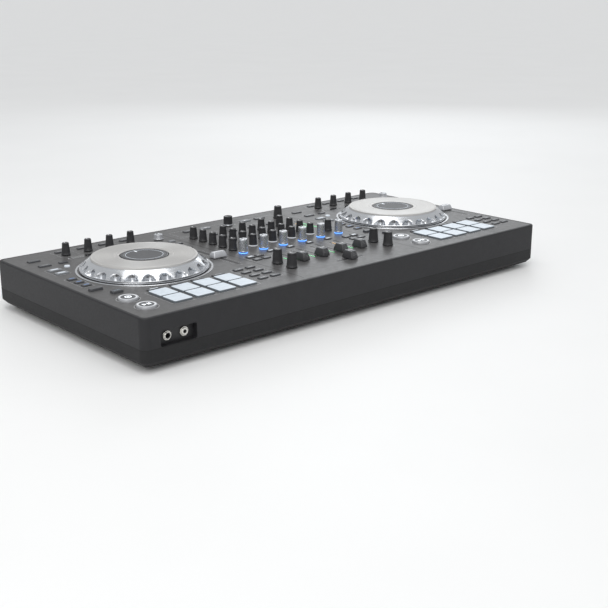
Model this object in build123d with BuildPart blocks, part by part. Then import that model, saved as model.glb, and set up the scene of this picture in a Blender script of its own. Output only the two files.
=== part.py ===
"""Two-deck, four-channel DJ controller, in millimetres.

The origin is on the resting surface under the middle of the case. +X runs to the player's right, +Y runs
away from the player and +Z is up. Every control is shown at its rest position.
"""

import os

from build123d import *

os.makedirs("parts", exist_ok=True)

# ---------------------------------------------------------------- case
CASE_W = 854.0
CASE_D = 419.0
CASE_CORNER_R = 12.0
FOOT_H = 8.0
TRAY_H = 26.0
PANEL_TOP = 79.0
PANEL_T = 2.0
TRAY_WALL = 3.0
TRAY_CHAMFER = 8.0
FLOOR_INSET = 10.2
HOUSING_WALL = 10.0
RIM_W = 5.0
PANEL_GAP = 0.4
RIM_FILLET = 2.0

SEAM_Z = FOOT_H + TRAY_H
PANEL_UNDER = PANEL_TOP - PANEL_T
FLOOR_Z = FOOT_H + TRAY_WALL

# ---------------------------------------------------------------- screws and feet
SCREW_INSET = 15.0
SCREW_R = 1.5
SCREW_HEAD_R = 3.2
SCREW_HEAD_H = 2.0
SCREW_LENGTH = 18.0
SCREW_HOLE_R = 1.8
SCREW_RECESS_R = 3.8
SCREW_RECESS_H = 16.0
PILLAR_R = 6.0
BOSS_SIDE = 17.0
BOSS_H = 14.0
FRONT_SCREW_X = 140.0
FOOT_R = 18.0
FOOT_TIP_R = 15.5
FOOT_INSET_X = 72.0
FOOT_INSET_Y = 42.0

# ---------------------------------------------------------------- deck layout, from the jog's centre line
DECK_EDGE = 149.0
JOG_Y = 10.0
DECK_X = CASE_W / 2 - DECK_EDGE
FX_KNOB_X = [-51.0, -10.0, 31.0, 72.0]
FX_KNOB_Y = 162.0
FX_KEY_Y = 184.0
STRIP_Y = 138.0
STRIP_W = 112.0
STRIP_D = 11.0
TEMPO_X = 124.0
TEMPO_Y = -14.0
JOG_TRIM_X = 122.0
JOG_TRIM_Y = 152.0
PAD_W = 30.5
PAD_D = 31.5
PAD_PITCH_X = 38.6
PAD_PITCH_Y = 35.0
PAD_Y = -142.0
PAD_H = 3.0
TRANSPORT_X = -111.0
CUE_Y = -116.0
PLAY_Y = -162.0
TRANSPORT_R = 14.5
TRANSPORT_H = 3.6

# ---------------------------------------------------------------- mixer layout
CHANNELS = 4
CHANNEL_PITCH = 43.0
ROW_PITCH = 27.5
TOP_ROW_Y = 116.5
CHANNEL_FADER_Y = -87.0
CROSSFADER_Y = -160.0
MONITOR_KNOB_Y = [-107.0, -141.0]
MASTER_KNOB_Y = TOP_ROW_Y + ROW_PITCH
BROWSE_Y = 158.0

# ---------------------------------------------------------------- controls
KNOB_LIFT = 1.0
SHAFT_R = 3.0
SHAFT_FIT = 0.05
SHAFT_HOLE_R = 4.0
BUSHING_R = 4.5
POT_SIDE = 12.0
POT_H = 8.0
BUSHING_H = 5.0
BORE_DEPTH = 11.0
POINTER_W = 1.4
POINTER_DEPTH = 0.5
# skirt radius, skirt height, base radius, top radius, height
BLACK_KNOB = (7.6, 2.0, 6.8, 5.6, 20.0)
TALL_KNOB = (9.0, 2.0, 8.2, 6.8, 23.0)
SILVER_KNOB = (7.4, 1.5, 7.0, 6.6, 24.0)
TRIM_KNOB = (8.5, 1.0, 8.0, 7.2, 9.0)
BROWSE_KNOB = (8.6, 1.5, 8.2, 7.8, 17.0)

TEMPO_TRAVEL = 100.0
CHANNEL_TRAVEL = 60.0
CROSS_TRAVEL = 50.0
SLOT_W = 3.2
SLOT_END = 4.0
LEVER_T = 1.2
LEVER_W = 5.0
LEVER_FIT = 0.05
LEVER_IN_CAP = 6.0
LEVER_BELOW = 12.0
FADER_BODY_W = 9.0
FADER_BODY_H = 11.0
FADER_BODY_END = 8.0
FADER_SLOT_W = 2.4
FADER_SLOT_DEPTH = 9.0
# width, depth, top width, top depth, height
TEMPO_CAP = (26.0, 15.0, 22.0, 9.0, 9.0)
CHANNEL_CAP = (14.0, 24.0, 10.5, 15.0, 13.0)

KEY_H = 2.0
KEY_GAP = 0.5
FLANGE_W = 1.2
FLANGE_T = 2.0
FLANGE_DROP = 3.0
KEY_CORNER_R = 1.2
PLUNGER_R = 1.5
PLUNGER_AIR = 2.2

# ---------------------------------------------------------------- boards
BOARD_Z = 59.0
BOARD_T = 1.6
BOARD_GAP = 3.0
BOARD_EDGE = 16.0
STANDOFF_R = 4.0
STANDOFF_INSET = 12.0
MAIN_BOARD_Z = 26.0
MAIN_BOARD_W = 320.0
MAIN_BOARD_D = 110.0
MAIN_BOARD_Y = 85.0
MAIN_STANDOFF_INSET = 10.0

# ---------------------------------------------------------------- jog wheels
JOG_R = 100.0
JOG_LIFT = 1.5
JOG_LIP_H = 4.0
JOG_SHOULDER_R = 97.0
JOG_SHOULDER_H = 8.0
JOG_TOP_R = 84.0
JOG_DECK_H = 18.6
JOG_FLOOR_H = 11.0
JOG_WELL_R = 39.0
JOG_WELL_H = 15.0
JOG_SKIRT_R = 91.0
JOG_INNER_R = 76.0
JOG_HUB_R = 24.0
POST_R = 18.0
POST_BORE_R = 13.0
POST_BASE_R = 46.0
POST_BASE_H = 4.0
HUB_FIT = 0.05
HUB_AIR = 3.0
PLATE_R = 82.0
PLATE_BORE_R = 38.2
PLATE_T = 3.0
PLATE_EDGE = 0.8
DISPLAY_R = 37.0
DISPLAY_AIR = 0.8
DISPLAY_H = 6.0
SCALLOPS = 24
SCALLOP_R = 9.5
SCALLOP_PITCH_R = 98.8
JOG_HOLE_R = 60.0
RING_IN_R = 102.5
RING_OUT_R = 106.0
RING_H = 1.2

# ---------------------------------------------------------------- sockets
WINDOW_W = 600.0
WINDOW_H = 23.0
WINDOW_Z = 46.0
FRONT_WINDOW_W = 60.0
FRONT_WINDOW_X = -370.0
SOCKET_PLATE_T = 2.0
SOCKET_PLATE_LAP = 2.5
SOCKET_HOLE_FIT = 0.1
JACK_R = 3.25
MINI_JACK_R = 1.8
JACK_BUSHING_R = 5.5
JACK_NUT_R = 7.0
JACK_NUT_T = 2.0
JACK_PROUD = 3.5
JACK_BODY_W = 14.0
JACK_BODY_D = 24.0
REAR_JACK_X = [-210.0, 150.0, 178.0]
FRONT_JACK_DX = 14.0
RCA_X = [-75.0, -40.0, -5.0, 30.0, 85.0]
RCA_R = 4.15
RCA_PROUD = 8.0
RCA_RISE = 6.5
RCA_BODY_W = 12.0
RCA_BODY_D = 14.0
USB_X = [232.0, 262.0]
USB_W = 12.0
USB_H = 10.8
USB_MOUTH_W = 8.5
USB_MOUTH_H = 7.8
USB_TONGUE_W = 5.6
USB_TONGUE_H = 3.2
USB_DEPTH = 12.0
USB_BODY_D = 16.0
EARTH_X = -115.0
EARTH_R = 3.0


def save(builder, name):
    """Writes one finished piece, or group of like pieces, as its own node."""
    builder.part.label = name
    export_step(builder.part, f"parts/{name}.step")


def row_y(row):
    """Depth of a mixer knob row, counted from the back."""
    return TOP_ROW_Y - row * ROW_PITCH


def channel_x(channel):
    """Side position of a channel strip, counted 0 to 3 from the left."""
    return (channel - (CHANNELS - 1) / 2) * CHANNEL_PITCH


SIDE_COLUMN_X = (CHANNELS + 1) / 2 * CHANNEL_PITCH
DECKS = {"left": -DECK_X, "right": DECK_X}

# ---------------------------------------------------------------- where each control stands
# name: (x, y, style)
turning_knobs = {"browse_knob": (0.0, BROWSE_Y, BROWSE_KNOB)}
for channel in range(CHANNELS):
    for row, role in enumerate(["trim", "high", "mid", "low"], start=1):
        turning_knobs[f"{role}_knob_{channel + 1}"] = (channel_x(channel), row_y(row), BLACK_KNOB)
    turning_knobs[f"filter_knob_{channel + 1}"] = (channel_x(channel), row_y(5), SILVER_KNOB)
for side, deck_x in DECKS.items():
    for index, knob_x in enumerate(FX_KNOB_X):
        turning_knobs[f"fx_knob_{side}_{index + 1}"] = (deck_x + knob_x, FX_KNOB_Y, BLACK_KNOB)

set_knobs_at = [(-SIDE_COLUMN_X, row_y(row), BLACK_KNOB) for row in range(5)]
set_knobs_at += [(SIDE_COLUMN_X, row_y(4), BLACK_KNOB), (SIDE_COLUMN_X, MASTER_KNOB_Y, TALL_KNOB)]
for knob_side in (-SIDE_COLUMN_X, SIDE_COLUMN_X):
    set_knobs_at.append((knob_side, row_y(5), SILVER_KNOB))
    set_knobs_at += [(knob_side, knob_y, TALL_KNOB) for knob_y in MONITOR_KNOB_Y]
set_knobs_at += [(deck_x + JOG_TRIM_X, JOG_TRIM_Y, TRIM_KNOB) for deck_x in DECKS.values()]

all_knobs = list(turning_knobs.values()) + set_knobs_at

# name: (x, y of the slot's middle, rest offset along the slot, travel, runs along y, cap)
faders = {}
for side, deck_x in DECKS.items():
    faders[f"tempo_fader_{side}"] = (deck_x + TEMPO_X, TEMPO_Y, 0.0, TEMPO_TRAVEL, True, TEMPO_CAP)
for channel in range(CHANNELS):
    faders[f"channel_fader_{channel + 1}"] = (
        channel_x(channel),
        CHANNEL_FADER_Y,
        -CHANNEL_TRAVEL / 2,
        CHANNEL_TRAVEL,
        True,
        CHANNEL_CAP,
    )
faders["crossfader"] = (0.0, CROSSFADER_Y, 0.0, CROSS_TRAVEL, False, CHANNEL_CAP)

# (x from the jog's centre, y, width, depth, corner radius)
deck_keys = [(x, FX_KEY_Y, 16.0, 7.0, KEY_CORNER_R) for x in FX_KNOB_X]
deck_keys += [(-111.0, y, 20.0, 9.0, KEY_CORNER_R) for y in (158.0, 122.0)]
deck_keys += [(-79.0, 122.0, 14.0, 8.0, KEY_CORNER_R), (-86.0, 97.0, 9.0, 9.0, 4.5)]
deck_keys += [(-113.0, y, 20.0, 11.0, KEY_CORNER_R) for y in (88.0, 66.0)]
deck_keys += [(-119.0, y, 14.0, 9.0, KEY_CORNER_R) for y in (25.0, 4.0, -17.0)]
deck_keys += [(130.0, y, 12.0, 7.0, KEY_CORNER_R) for y in (124.0, 102.0)]
deck_keys += [((column - 1.5) * PAD_PITCH_X, -100.5, 22.0, 5.5, KEY_CORNER_R) for column in range(4)]
deck_keys += [(x, y, 16.0, 8.0, KEY_CORNER_R) for x in (98.0, 122.0) for y in (-98.0, -118.0, -138.0, -158.0)]

mixer_keys = [(x, 166.0, 22.0, 9.0, KEY_CORNER_R) for x in (-82.0, -46.0, 46.0, 80.0)]
mixer_keys += [(channel_x(channel), TOP_ROW_Y, 15.0, 7.0, KEY_CORNER_R) for channel in range(CHANNELS)]
mixer_keys += [(channel_x(channel), -39.5, 13.0, 8.0, KEY_CORNER_R) for channel in range(CHANNELS)]
mixer_keys += [
    (side * SIDE_COLUMN_X + dx, y, 14.0, 10.0, KEY_CORNER_R)
    for side in (-1, 1)
    for dx in (-9.0, 9.0)
    for y in (-50.0, -68.0)
]

pads = [
    ((column - 1.5) * PAD_PITCH_X, PAD_Y + (row - 0.5) * PAD_PITCH_Y, PAD_W, PAD_D, 2.0)
    for row in range(2)
    for column in range(4)
]
transport_keys = [(TRANSPORT_X, y, 2 * TRANSPORT_R, 2 * TRANSPORT_R, TRANSPORT_R) for y in (CUE_Y, PLAY_Y)]
transport_keys += [(-105.0, -77.0, 17.0, 10.0, KEY_CORNER_R), (-121.0, -46.0, 20.0, 9.0, KEY_CORNER_R)]


def shifted(keys, deck_x):
    """The same keys on one deck, in the case's own coordinates."""
    return [(deck_x + x, y, w, d, corner_r) for x, y, w, d, corner_r in keys]


def key_outline(w, d, corner_r, grow, mode=Mode.ADD):
    """A key's outline grown all round; one with corners as large as itself is round."""
    if 2 * corner_r >= w:
        Circle(w / 2 + grow, mode=mode)
    else:
        RectangleRounded(w + 2 * grow, d + 2 * grow, corner_r, mode=mode)


small_keys = mixer_keys + [key for deck_x in DECKS.values() for key in shifted(deck_keys, deck_x)]
panel_keys = small_keys + [key for deck_x in DECKS.values() for key in shifted(pads + transport_keys, deck_x)]

# (x, y, width, depth) of the clear windows set in the panel
windows_at = [(deck_x, STRIP_Y, STRIP_W, STRIP_D) for deck_x in DECKS.values()]
windows_at += [(channel_x(channel) - 14.0, CHANNEL_FADER_Y, 4.0, 58.0) for channel in range(CHANNELS)]
windows_at += [(SIDE_COLUMN_X + dx, 72.0, 5.0, 62.0) for dx in (-6.0, 6.0)]

corner_screws = [
    (sx * (CASE_W / 2 - SCREW_INSET), sy * (CASE_D / 2 - SCREW_INSET)) for sx in (-1, 1) for sy in (-1, 0, 1)
]
screws_at = corner_screws + [(sx * FRONT_SCREW_X, SCREW_INSET - CASE_D / 2) for sx in (-1, 1)]
feet_at = [
    (sx * (CASE_W / 2 - FOOT_INSET_X), sy * (CASE_D / 2 - FOOT_INSET_Y))
    for sx in (-1, 0, 1)
    for sy in (-1, 1)
]

# the deck boards reach from the case's side to the mixer board
MIXER_BOARD_W = 2 * (SIDE_COLUMN_X + POT_SIDE)
BOARD_D = CASE_D - 2 * BOARD_EDGE
DECK_BOARD_W = CASE_W / 2 - BOARD_EDGE - MIXER_BOARD_W / 2 - BOARD_GAP
DECK_BOARD_X = CASE_W / 2 - BOARD_EDGE - DECK_BOARD_W / 2
BOARD_TOP = BOARD_Z + BOARD_T
standoffs_at = [
    (board_x + sx * (board_w / 2 - STANDOFF_INSET), sy * (BOARD_D / 2 - STANDOFF_INSET))
    for board_x, board_w in [(-DECK_BOARD_X, DECK_BOARD_W), (0, MIXER_BOARD_W), (DECK_BOARD_X, DECK_BOARD_W)]
    for sx in (-1, 1)
    for sy in (-1, 1)
]
main_standoffs_at = [
    (
        sx * (MAIN_BOARD_W / 2 - MAIN_STANDOFF_INSET),
        MAIN_BOARD_Y + sy * (MAIN_BOARD_D / 2 - MAIN_STANDOFF_INSET),
    )
    for sx in (-1, 1)
    for sy in (-1, 1)
]

# ---------------------------------------------------------------- bottom tray
with BuildPart() as bottom_tray:
    with BuildSketch(Plane.XY.offset(FOOT_H)):
        RectangleRounded(CASE_W, CASE_D, CASE_CORNER_R)
    extrude(amount=TRAY_H)
    chamfer(bottom_tray.faces().sort_by(Axis.Z)[0].edges(), TRAY_CHAMFER)
    with BuildSketch(Plane.XY.offset(FLOOR_Z)):
        RectangleRounded(CASE_W - 2 * FLOOR_INSET, CASE_D - 2 * FLOOR_INSET, CASE_CORNER_R - 4)
    extrude(amount=TRAY_H, mode=Mode.SUBTRACT)
    with BuildSketch(Plane.XY.offset(FOOT_H + TRAY_CHAMFER + TRAY_WALL)):
        RectangleRounded(CASE_W - 2 * TRAY_WALL, CASE_D - 2 * TRAY_WALL, CASE_CORNER_R - TRAY_WALL)
    extrude(amount=TRAY_H, mode=Mode.SUBTRACT)
    with BuildSketch(Plane.XY.offset(FLOOR_Z)):
        with Locations(screws_at):
            Circle(PILLAR_R)
    extrude(amount=SEAM_Z - FLOOR_Z)
    with BuildSketch(Plane.XY.offset(FLOOR_Z)):
        with Locations(standoffs_at):
            Circle(STANDOFF_R)
    extrude(amount=BOARD_Z - FLOOR_Z)
    with BuildSketch(Plane.XY.offset(FLOOR_Z)):
        with Locations(main_standoffs_at):
            Circle(STANDOFF_R)
    extrude(amount=MAIN_BOARD_Z - FLOOR_Z)
    with BuildSketch(Plane.XY.offset(FOOT_H)):
        with Locations(screws_at):
            Circle(SCREW_HOLE_R)
    extrude(amount=TRAY_H, mode=Mode.SUBTRACT)
    with BuildSketch(Plane.XY.offset(FOOT_H)):
        with Locations(screws_at):
            Circle(SCREW_RECESS_R)
    extrude(amount=SCREW_RECESS_H, mode=Mode.SUBTRACT)
    with BuildSketch(Plane.XY.offset(FOOT_H)):
        for vent_x in (-DECK_X, DECK_X):
            with Locations((vent_x, JOG_Y + 100)):
                with GridLocations(14, 1, 10, 1):
                    SlotOverall(50, 5, rotation=90)
    extrude(amount=TRAY_WALL, mode=Mode.SUBTRACT)
save(bottom_tray, "bottom_tray")

# ---------------------------------------------------------------- upper housing
with BuildPart() as upper_housing:
    with BuildSketch(Plane.XY.offset(SEAM_Z)):
        RectangleRounded(CASE_W, CASE_D, CASE_CORNER_R)
    extrude(amount=PANEL_TOP - SEAM_Z)
    fillet(upper_housing.faces().sort_by(Axis.Z)[-1].edges(), RIM_FILLET)
    with BuildSketch(Plane.XY.offset(SEAM_Z)):
        RectangleRounded(CASE_W - 2 * HOUSING_WALL, CASE_D - 2 * HOUSING_WALL, 4)
    extrude(amount=PANEL_TOP - SEAM_Z, mode=Mode.SUBTRACT)
    with BuildSketch(Plane.XY.offset(PANEL_UNDER)):
        RectangleRounded(CASE_W - 2 * RIM_W, CASE_D - 2 * RIM_W, CASE_CORNER_R - RIM_W)
    extrude(amount=PANEL_T, mode=Mode.SUBTRACT)
    with BuildSketch(Plane.XY.offset(SEAM_Z)):
        with Locations(screws_at):
            Rectangle(BOSS_SIDE, BOSS_SIDE)
    extrude(amount=BOSS_H)
    with BuildSketch(Plane.XY.offset(SEAM_Z)):
        with Locations(screws_at):
            Circle(SCREW_R + SHAFT_FIT)
    extrude(amount=BOSS_H - 2, mode=Mode.SUBTRACT)
    with BuildSketch(Plane.XZ.offset(-CASE_D / 2)):
        with Locations((0, WINDOW_Z)):
            RectangleRounded(WINDOW_W, WINDOW_H, 3)
    extrude(amount=HOUSING_WALL, mode=Mode.SUBTRACT)
    with BuildSketch(Plane.XZ.offset(CASE_D / 2 - HOUSING_WALL)):
        with Locations((FRONT_WINDOW_X, WINDOW_Z)):
            RectangleRounded(FRONT_WINDOW_W, WINDOW_H, 3)
    extrude(amount=HOUSING_WALL, mode=Mode.SUBTRACT)
save(upper_housing, "upper_housing")

# ---------------------------------------------------------------- top panel
with BuildPart() as top_panel:
    with BuildSketch(Plane.XY.offset(PANEL_UNDER)):
        RectangleRounded(
            CASE_W - 2 * (RIM_W + PANEL_GAP),
            CASE_D - 2 * (RIM_W + PANEL_GAP),
            CASE_CORNER_R - RIM_W - PANEL_GAP,
        )
        for x, y, style in all_knobs:
            with Locations((x, y)):
                Circle(SHAFT_HOLE_R, mode=Mode.SUBTRACT)
        for x, y, rest, travel, along_y, cap in faders.values():
            with Locations((x, y)):
                SlotOverall(travel + 2 * SLOT_END, SLOT_W, rotation=90 if along_y else 0, mode=Mode.SUBTRACT)
        for x, y, w, d, corner_r in panel_keys:
            with Locations((x, y)):
                key_outline(w, d, corner_r, KEY_GAP, Mode.SUBTRACT)
        for x, y, w, d in windows_at:
            with Locations((x, y)):
                Rectangle(w + KEY_GAP, d + KEY_GAP, mode=Mode.SUBTRACT)
        for deck_x in DECKS.values():
            with Locations((deck_x, JOG_Y)):
                Circle(JOG_HOLE_R, mode=Mode.SUBTRACT)
    extrude(amount=PANEL_T)
save(top_panel, "top_panel")

# ---------------------------------------------------------------- case screws
with BuildPart() as case_screws:
    head_z = FOOT_H + SCREW_RECESS_H
    with BuildSketch(Plane.XY.offset(head_z - SCREW_HEAD_H)):
        with Locations(screws_at):
            Circle(SCREW_HEAD_R)
    extrude(amount=SCREW_HEAD_H)
    with BuildSketch(Plane.XY.offset(head_z)):
        with Locations(screws_at):
            Circle(SCREW_R)
    extrude(amount=SCREW_LENGTH)
    with BuildSketch(Plane.XY.offset(head_z - SCREW_HEAD_H)):
        with Locations(screws_at):
            RegularPolygon(1.6, 6)
    extrude(amount=SCREW_HEAD_H / 2, mode=Mode.SUBTRACT)
save(case_screws, "case_screws")

# ---------------------------------------------------------------- rubber feet
with BuildPart() as rubber_feet:
    with BuildSketch(Plane.XY):
        with Locations(feet_at):
            Circle(FOOT_R)
    extrude(amount=FOOT_H)
    chamfer(rubber_feet.edges().group_by(Axis.Z)[0], FOOT_R - FOOT_TIP_R)
save(rubber_feet, "rubber_feet")

# ---------------------------------------------------------------- circuit boards
with BuildPart() as circuit_boards:
    with BuildSketch(Plane.XY.offset(BOARD_Z)):
        Rectangle(MIXER_BOARD_W, BOARD_D)
        with Locations((-DECK_BOARD_X, 0), (DECK_BOARD_X, 0)):
            Rectangle(DECK_BOARD_W, BOARD_D)
        with Locations([(deck_x, JOG_Y) for deck_x in DECKS.values()]):
            Circle(POST_R + 2, mode=Mode.SUBTRACT)
    extrude(amount=BOARD_T)
    with BuildSketch(Plane.XY.offset(MAIN_BOARD_Z)):
        with Locations((0, MAIN_BOARD_Y)):
            Rectangle(MAIN_BOARD_W, MAIN_BOARD_D)
    extrude(amount=BOARD_T)
    with BuildSketch(Plane.XY.offset(MAIN_BOARD_Z + BOARD_T)):
        with Locations((0, MAIN_BOARD_Y)):
            with GridLocations(64, 44, 4, 2):
                Rectangle(20, 20)
    extrude(amount=1.6)
save(circuit_boards, "circuit_boards")


# ---------------------------------------------------------------- knobs and the potentiometers under them
def make_knob(x, y, style):
    """A pressed-on cap with its pointer groove, and the metal shaft that turns with it."""
    skirt_r, skirt_h, base_r, top_r, height = style
    turning = Axis((x, y, 0), (0, 0, 1))
    cap_z = PANEL_TOP + KNOB_LIFT
    with BuildPart() as knob:
        with BuildSketch(Plane(origin=(x, y, cap_z), x_dir=(1, 0, 0), z_dir=(0, -1, 0))):
            with BuildLine():
                Polyline(
                    (0, 0),
                    (skirt_r, 0),
                    (skirt_r, skirt_h),
                    (base_r, skirt_h + 0.6),
                    (top_r, height - 0.8),
                    (top_r - 0.8, height),
                    (0, height),
                    close=True,
                )
            make_face()
        revolve(axis=turning)
        with BuildSketch(Plane.XY.offset(cap_z + height)):
            with Locations((x, y + top_r / 2)):
                Rectangle(POINTER_W, top_r)
        extrude(amount=-POINTER_DEPTH, mode=Mode.SUBTRACT)
        depth = min(BORE_DEPTH, height - 2)
        with BuildSketch(Plane.XY.offset(cap_z)):
            with Locations((x, y)):
                Circle(SHAFT_R + SHAFT_FIT)
        extrude(amount=depth, mode=Mode.SUBTRACT)
        shaft_z = BOARD_TOP + POT_H + 1
        with BuildSketch(Plane.XY.offset(shaft_z)):
            with Locations((x, y)):
                Circle(SHAFT_R)
        extrude(amount=cap_z + depth - 0.5 - shaft_z)
    return knob


for name, (x, y, style) in turning_knobs.items():
    save(make_knob(x, y, style), name)

single_set_knobs = [make_knob(x, y, style).part for x, y, style in set_knobs_at]
with BuildPart() as set_knobs:
    for knob in single_set_knobs:
        add(knob)
save(set_knobs, "set_knobs")

with BuildPart() as rotary_pots:
    pot_spots = [(x, y) for x, y, style in all_knobs]
    with BuildSketch(Plane.XY.offset(BOARD_TOP)):
        with Locations(pot_spots):
            RectangleRounded(POT_SIDE, POT_SIDE, 1)
    extrude(amount=POT_H)
    with BuildSketch(Plane.XY.offset(BOARD_TOP + POT_H)):
        with Locations(pot_spots):
            Circle(BUSHING_R)
    extrude(amount=BUSHING_H)
    with BuildSketch(Plane.XY.offset(BOARD_TOP + POT_H)):
        with Locations(pot_spots):
            Circle(SHAFT_R + SHAFT_FIT)
    extrude(amount=BUSHING_H, mode=Mode.SUBTRACT)
save(rotary_pots, "rotary_pots")


# ---------------------------------------------------------------- faders
def make_fader(x, y, rest, along_y, cap):
    """A finger cap pressed on the flat metal lever of its slide potentiometer."""
    width, depth, top_w, top_d, height = cap
    cap_x, cap_y = (x, y + rest) if along_y else (x + rest, y)
    lever_w, lever_d = (LEVER_T, LEVER_W) if along_y else (LEVER_W, LEVER_T)
    cap_z = PANEL_TOP + KNOB_LIFT
    with BuildPart() as fader:
        with BuildSketch(Plane.XY.offset(cap_z)):
            with Locations((cap_x, cap_y)):
                RectangleRounded(width, depth, 1.5)
        with BuildSketch(Plane.XY.offset(cap_z + height)):
            with Locations((cap_x, cap_y)):
                RectangleRounded(top_w, top_d, 1)
        loft()
        with BuildSketch(Plane.XY.offset(cap_z + height)):
            with Locations((cap_x, cap_y)):
                Rectangle(width, POINTER_W)
        extrude(amount=-POINTER_DEPTH, mode=Mode.SUBTRACT)
        with BuildSketch(Plane.XY.offset(cap_z)):
            with Locations((cap_x, cap_y)):
                Rectangle(lever_w + 2 * LEVER_FIT, lever_d + 2 * LEVER_FIT)
        extrude(amount=LEVER_IN_CAP + LEVER_FIT, mode=Mode.SUBTRACT)
        with BuildSketch(Plane.XY.offset(PANEL_TOP - LEVER_BELOW)):
            with Locations((cap_x, cap_y)):
                Rectangle(lever_w, lever_d)
        extrude(amount=LEVER_BELOW + KNOB_LIFT + LEVER_IN_CAP)
    return fader


for name, (x, y, rest, travel, along_y, cap) in faders.items():
    save(make_fader(x, y, rest, along_y, cap), name)

with BuildPart() as slide_pots:
    for x, y, rest, travel, along_y, cap in faders.values():
        turn = 90 if along_y else 0
        with BuildSketch(Plane.XY.offset(BOARD_TOP)):
            with Locations((x, y)):
                Rectangle(travel + 2 * FADER_BODY_END, FADER_BODY_W, rotation=turn)
        extrude(amount=FADER_BODY_H)
        with BuildSketch(Plane.XY.offset(BOARD_TOP + FADER_BODY_H)):
            with Locations((x, y)):
                Rectangle(travel + 2 * LEVER_W, FADER_SLOT_W, rotation=turn)
        extrude(amount=-FADER_SLOT_DEPTH, mode=Mode.SUBTRACT)
save(slide_pots, "slide_pots")


# ---------------------------------------------------------------- pads and keys
def make_keys(keys, top_z, edge_r):
    """Moulded keys: heads through the panel, flanges that stop them under it, and their plungers."""
    flange_z = PANEL_UNDER - FLANGE_DROP
    plunger_z = BOARD_TOP + PLUNGER_AIR
    with BuildPart() as group:
        with BuildSketch(Plane.XY.offset(flange_z)):
            for x, y, w, d, corner_r in keys:
                with Locations((x, y)):
                    key_outline(w, d, corner_r, 0)
        extrude(amount=top_z - flange_z)
        if edge_r > 0:
            fillet(group.faces().group_by(Axis.Z)[-1].edges(), edge_r)
        with BuildSketch(Plane.XY.offset(flange_z)):
            for x, y, w, d, corner_r in keys:
                with Locations((x, y)):
                    key_outline(w, d, corner_r, FLANGE_W)
        extrude(amount=FLANGE_T)
        with BuildSketch(Plane.XY.offset(plunger_z)):
            with Locations([(x, y) for x, y, w, d, corner_r in keys]):
                Circle(PLUNGER_R)
        extrude(amount=flange_z - plunger_z)
    return group


for side, deck_x in DECKS.items():
    save(make_keys(shifted(pads, deck_x), PANEL_TOP + PAD_H, 0.6), f"performance_pads_{side}")
    transport = shifted(transport_keys, deck_x)
    save(make_keys(transport, PANEL_TOP + TRANSPORT_H, 0.6), f"transport_buttons_{side}")

save(make_keys(small_keys, PANEL_TOP + KEY_H, 0), "small_keys")

with BuildPart() as panel_windows:
    with BuildSketch(Plane.XY.offset(PANEL_UNDER - 1)):
        for x, y, w, d in windows_at:
            with Locations((x, y)):
                Rectangle(w, d)
    extrude(amount=PANEL_T + 1.2)
save(panel_windows, "panel_windows")

# ---------------------------------------------------------------- jog wheels
HUB_Z = BOARD_TOP + HUB_AIR
DECK_TOP = PANEL_TOP + JOG_DECK_H

for side, deck_x in DECKS.items():
    spin = Axis((deck_x, JOG_Y, 0), (0, 0, 1))
    profile_plane = Plane(origin=(deck_x, JOG_Y, 0), x_dir=(1, 0, 0), z_dir=(0, -1, 0))
    with BuildPart() as jog_wheel:
        with BuildSketch(profile_plane):
            with BuildLine():
                Polyline(
                    (POST_R + HUB_FIT, HUB_Z),
                    (JOG_HUB_R, HUB_Z),
                    (JOG_HUB_R, PANEL_TOP + JOG_FLOOR_H),
                    (JOG_INNER_R, PANEL_TOP + JOG_FLOOR_H),
                    (JOG_SKIRT_R, PANEL_TOP + JOG_LIFT),
                    (JOG_R, PANEL_TOP + JOG_LIFT),
                    (JOG_R, PANEL_TOP + JOG_LIFT + JOG_LIP_H),
                    (JOG_SHOULDER_R, PANEL_TOP + JOG_SHOULDER_H),
                    (JOG_TOP_R, DECK_TOP),
                    (JOG_WELL_R, DECK_TOP),
                    (JOG_WELL_R, PANEL_TOP + JOG_WELL_H),
                    (POST_R + HUB_FIT, PANEL_TOP + JOG_WELL_H),
                    close=True,
                )
            make_face()
        revolve(axis=spin)
        with BuildSketch(Plane.XY.offset(PANEL_TOP + JOG_LIFT + JOG_LIP_H)):
            with Locations((deck_x, JOG_Y)):
                with PolarLocations(SCALLOP_PITCH_R, SCALLOPS):
                    Circle(SCALLOP_R)
        extrude(amount=JOG_DECK_H, mode=Mode.SUBTRACT)
    save(jog_wheel, f"jog_wheel_{side}")

    with BuildPart() as jog_plate:
        with BuildSketch(Plane.XY.offset(DECK_TOP)):
            with Locations((deck_x, JOG_Y)):
                Circle(PLATE_R)
                Circle(PLATE_BORE_R, mode=Mode.SUBTRACT)
        extrude(amount=PLATE_T)
        chamfer(jog_plate.edges().group_by(Axis.Z)[-1], PLATE_EDGE)
    save(jog_plate, f"jog_plate_{side}")

jogs_at = [(deck_x, JOG_Y) for deck_x in DECKS.values()]
DISPLAY_Z = PANEL_TOP + JOG_WELL_H + DISPLAY_AIR
with BuildPart() as jog_posts:
    with BuildSketch(Plane.XY.offset(FLOOR_Z)):
        with Locations(jogs_at):
            Circle(POST_BASE_R)
    extrude(amount=POST_BASE_H)
    with BuildSketch(Plane.XY.offset(FLOOR_Z)):
        with Locations(jogs_at):
            Circle(POST_R)
    extrude(amount=DISPLAY_Z - FLOOR_Z)
    with BuildSketch(Plane.XY.offset(FLOOR_Z)):
        with Locations(jogs_at):
            Circle(POST_BORE_R)
    extrude(amount=DISPLAY_Z - FLOOR_Z, mode=Mode.SUBTRACT)
save(jog_posts, "jog_posts")

with BuildPart() as jog_displays:
    with BuildSketch(Plane.XY.offset(DISPLAY_Z)):
        with Locations(jogs_at):
            Circle(DISPLAY_R)
    extrude(amount=DISPLAY_H)
    chamfer(jog_displays.edges().group_by(Axis.Z)[-1], PLATE_EDGE)
save(jog_displays, "jog_displays")

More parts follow.
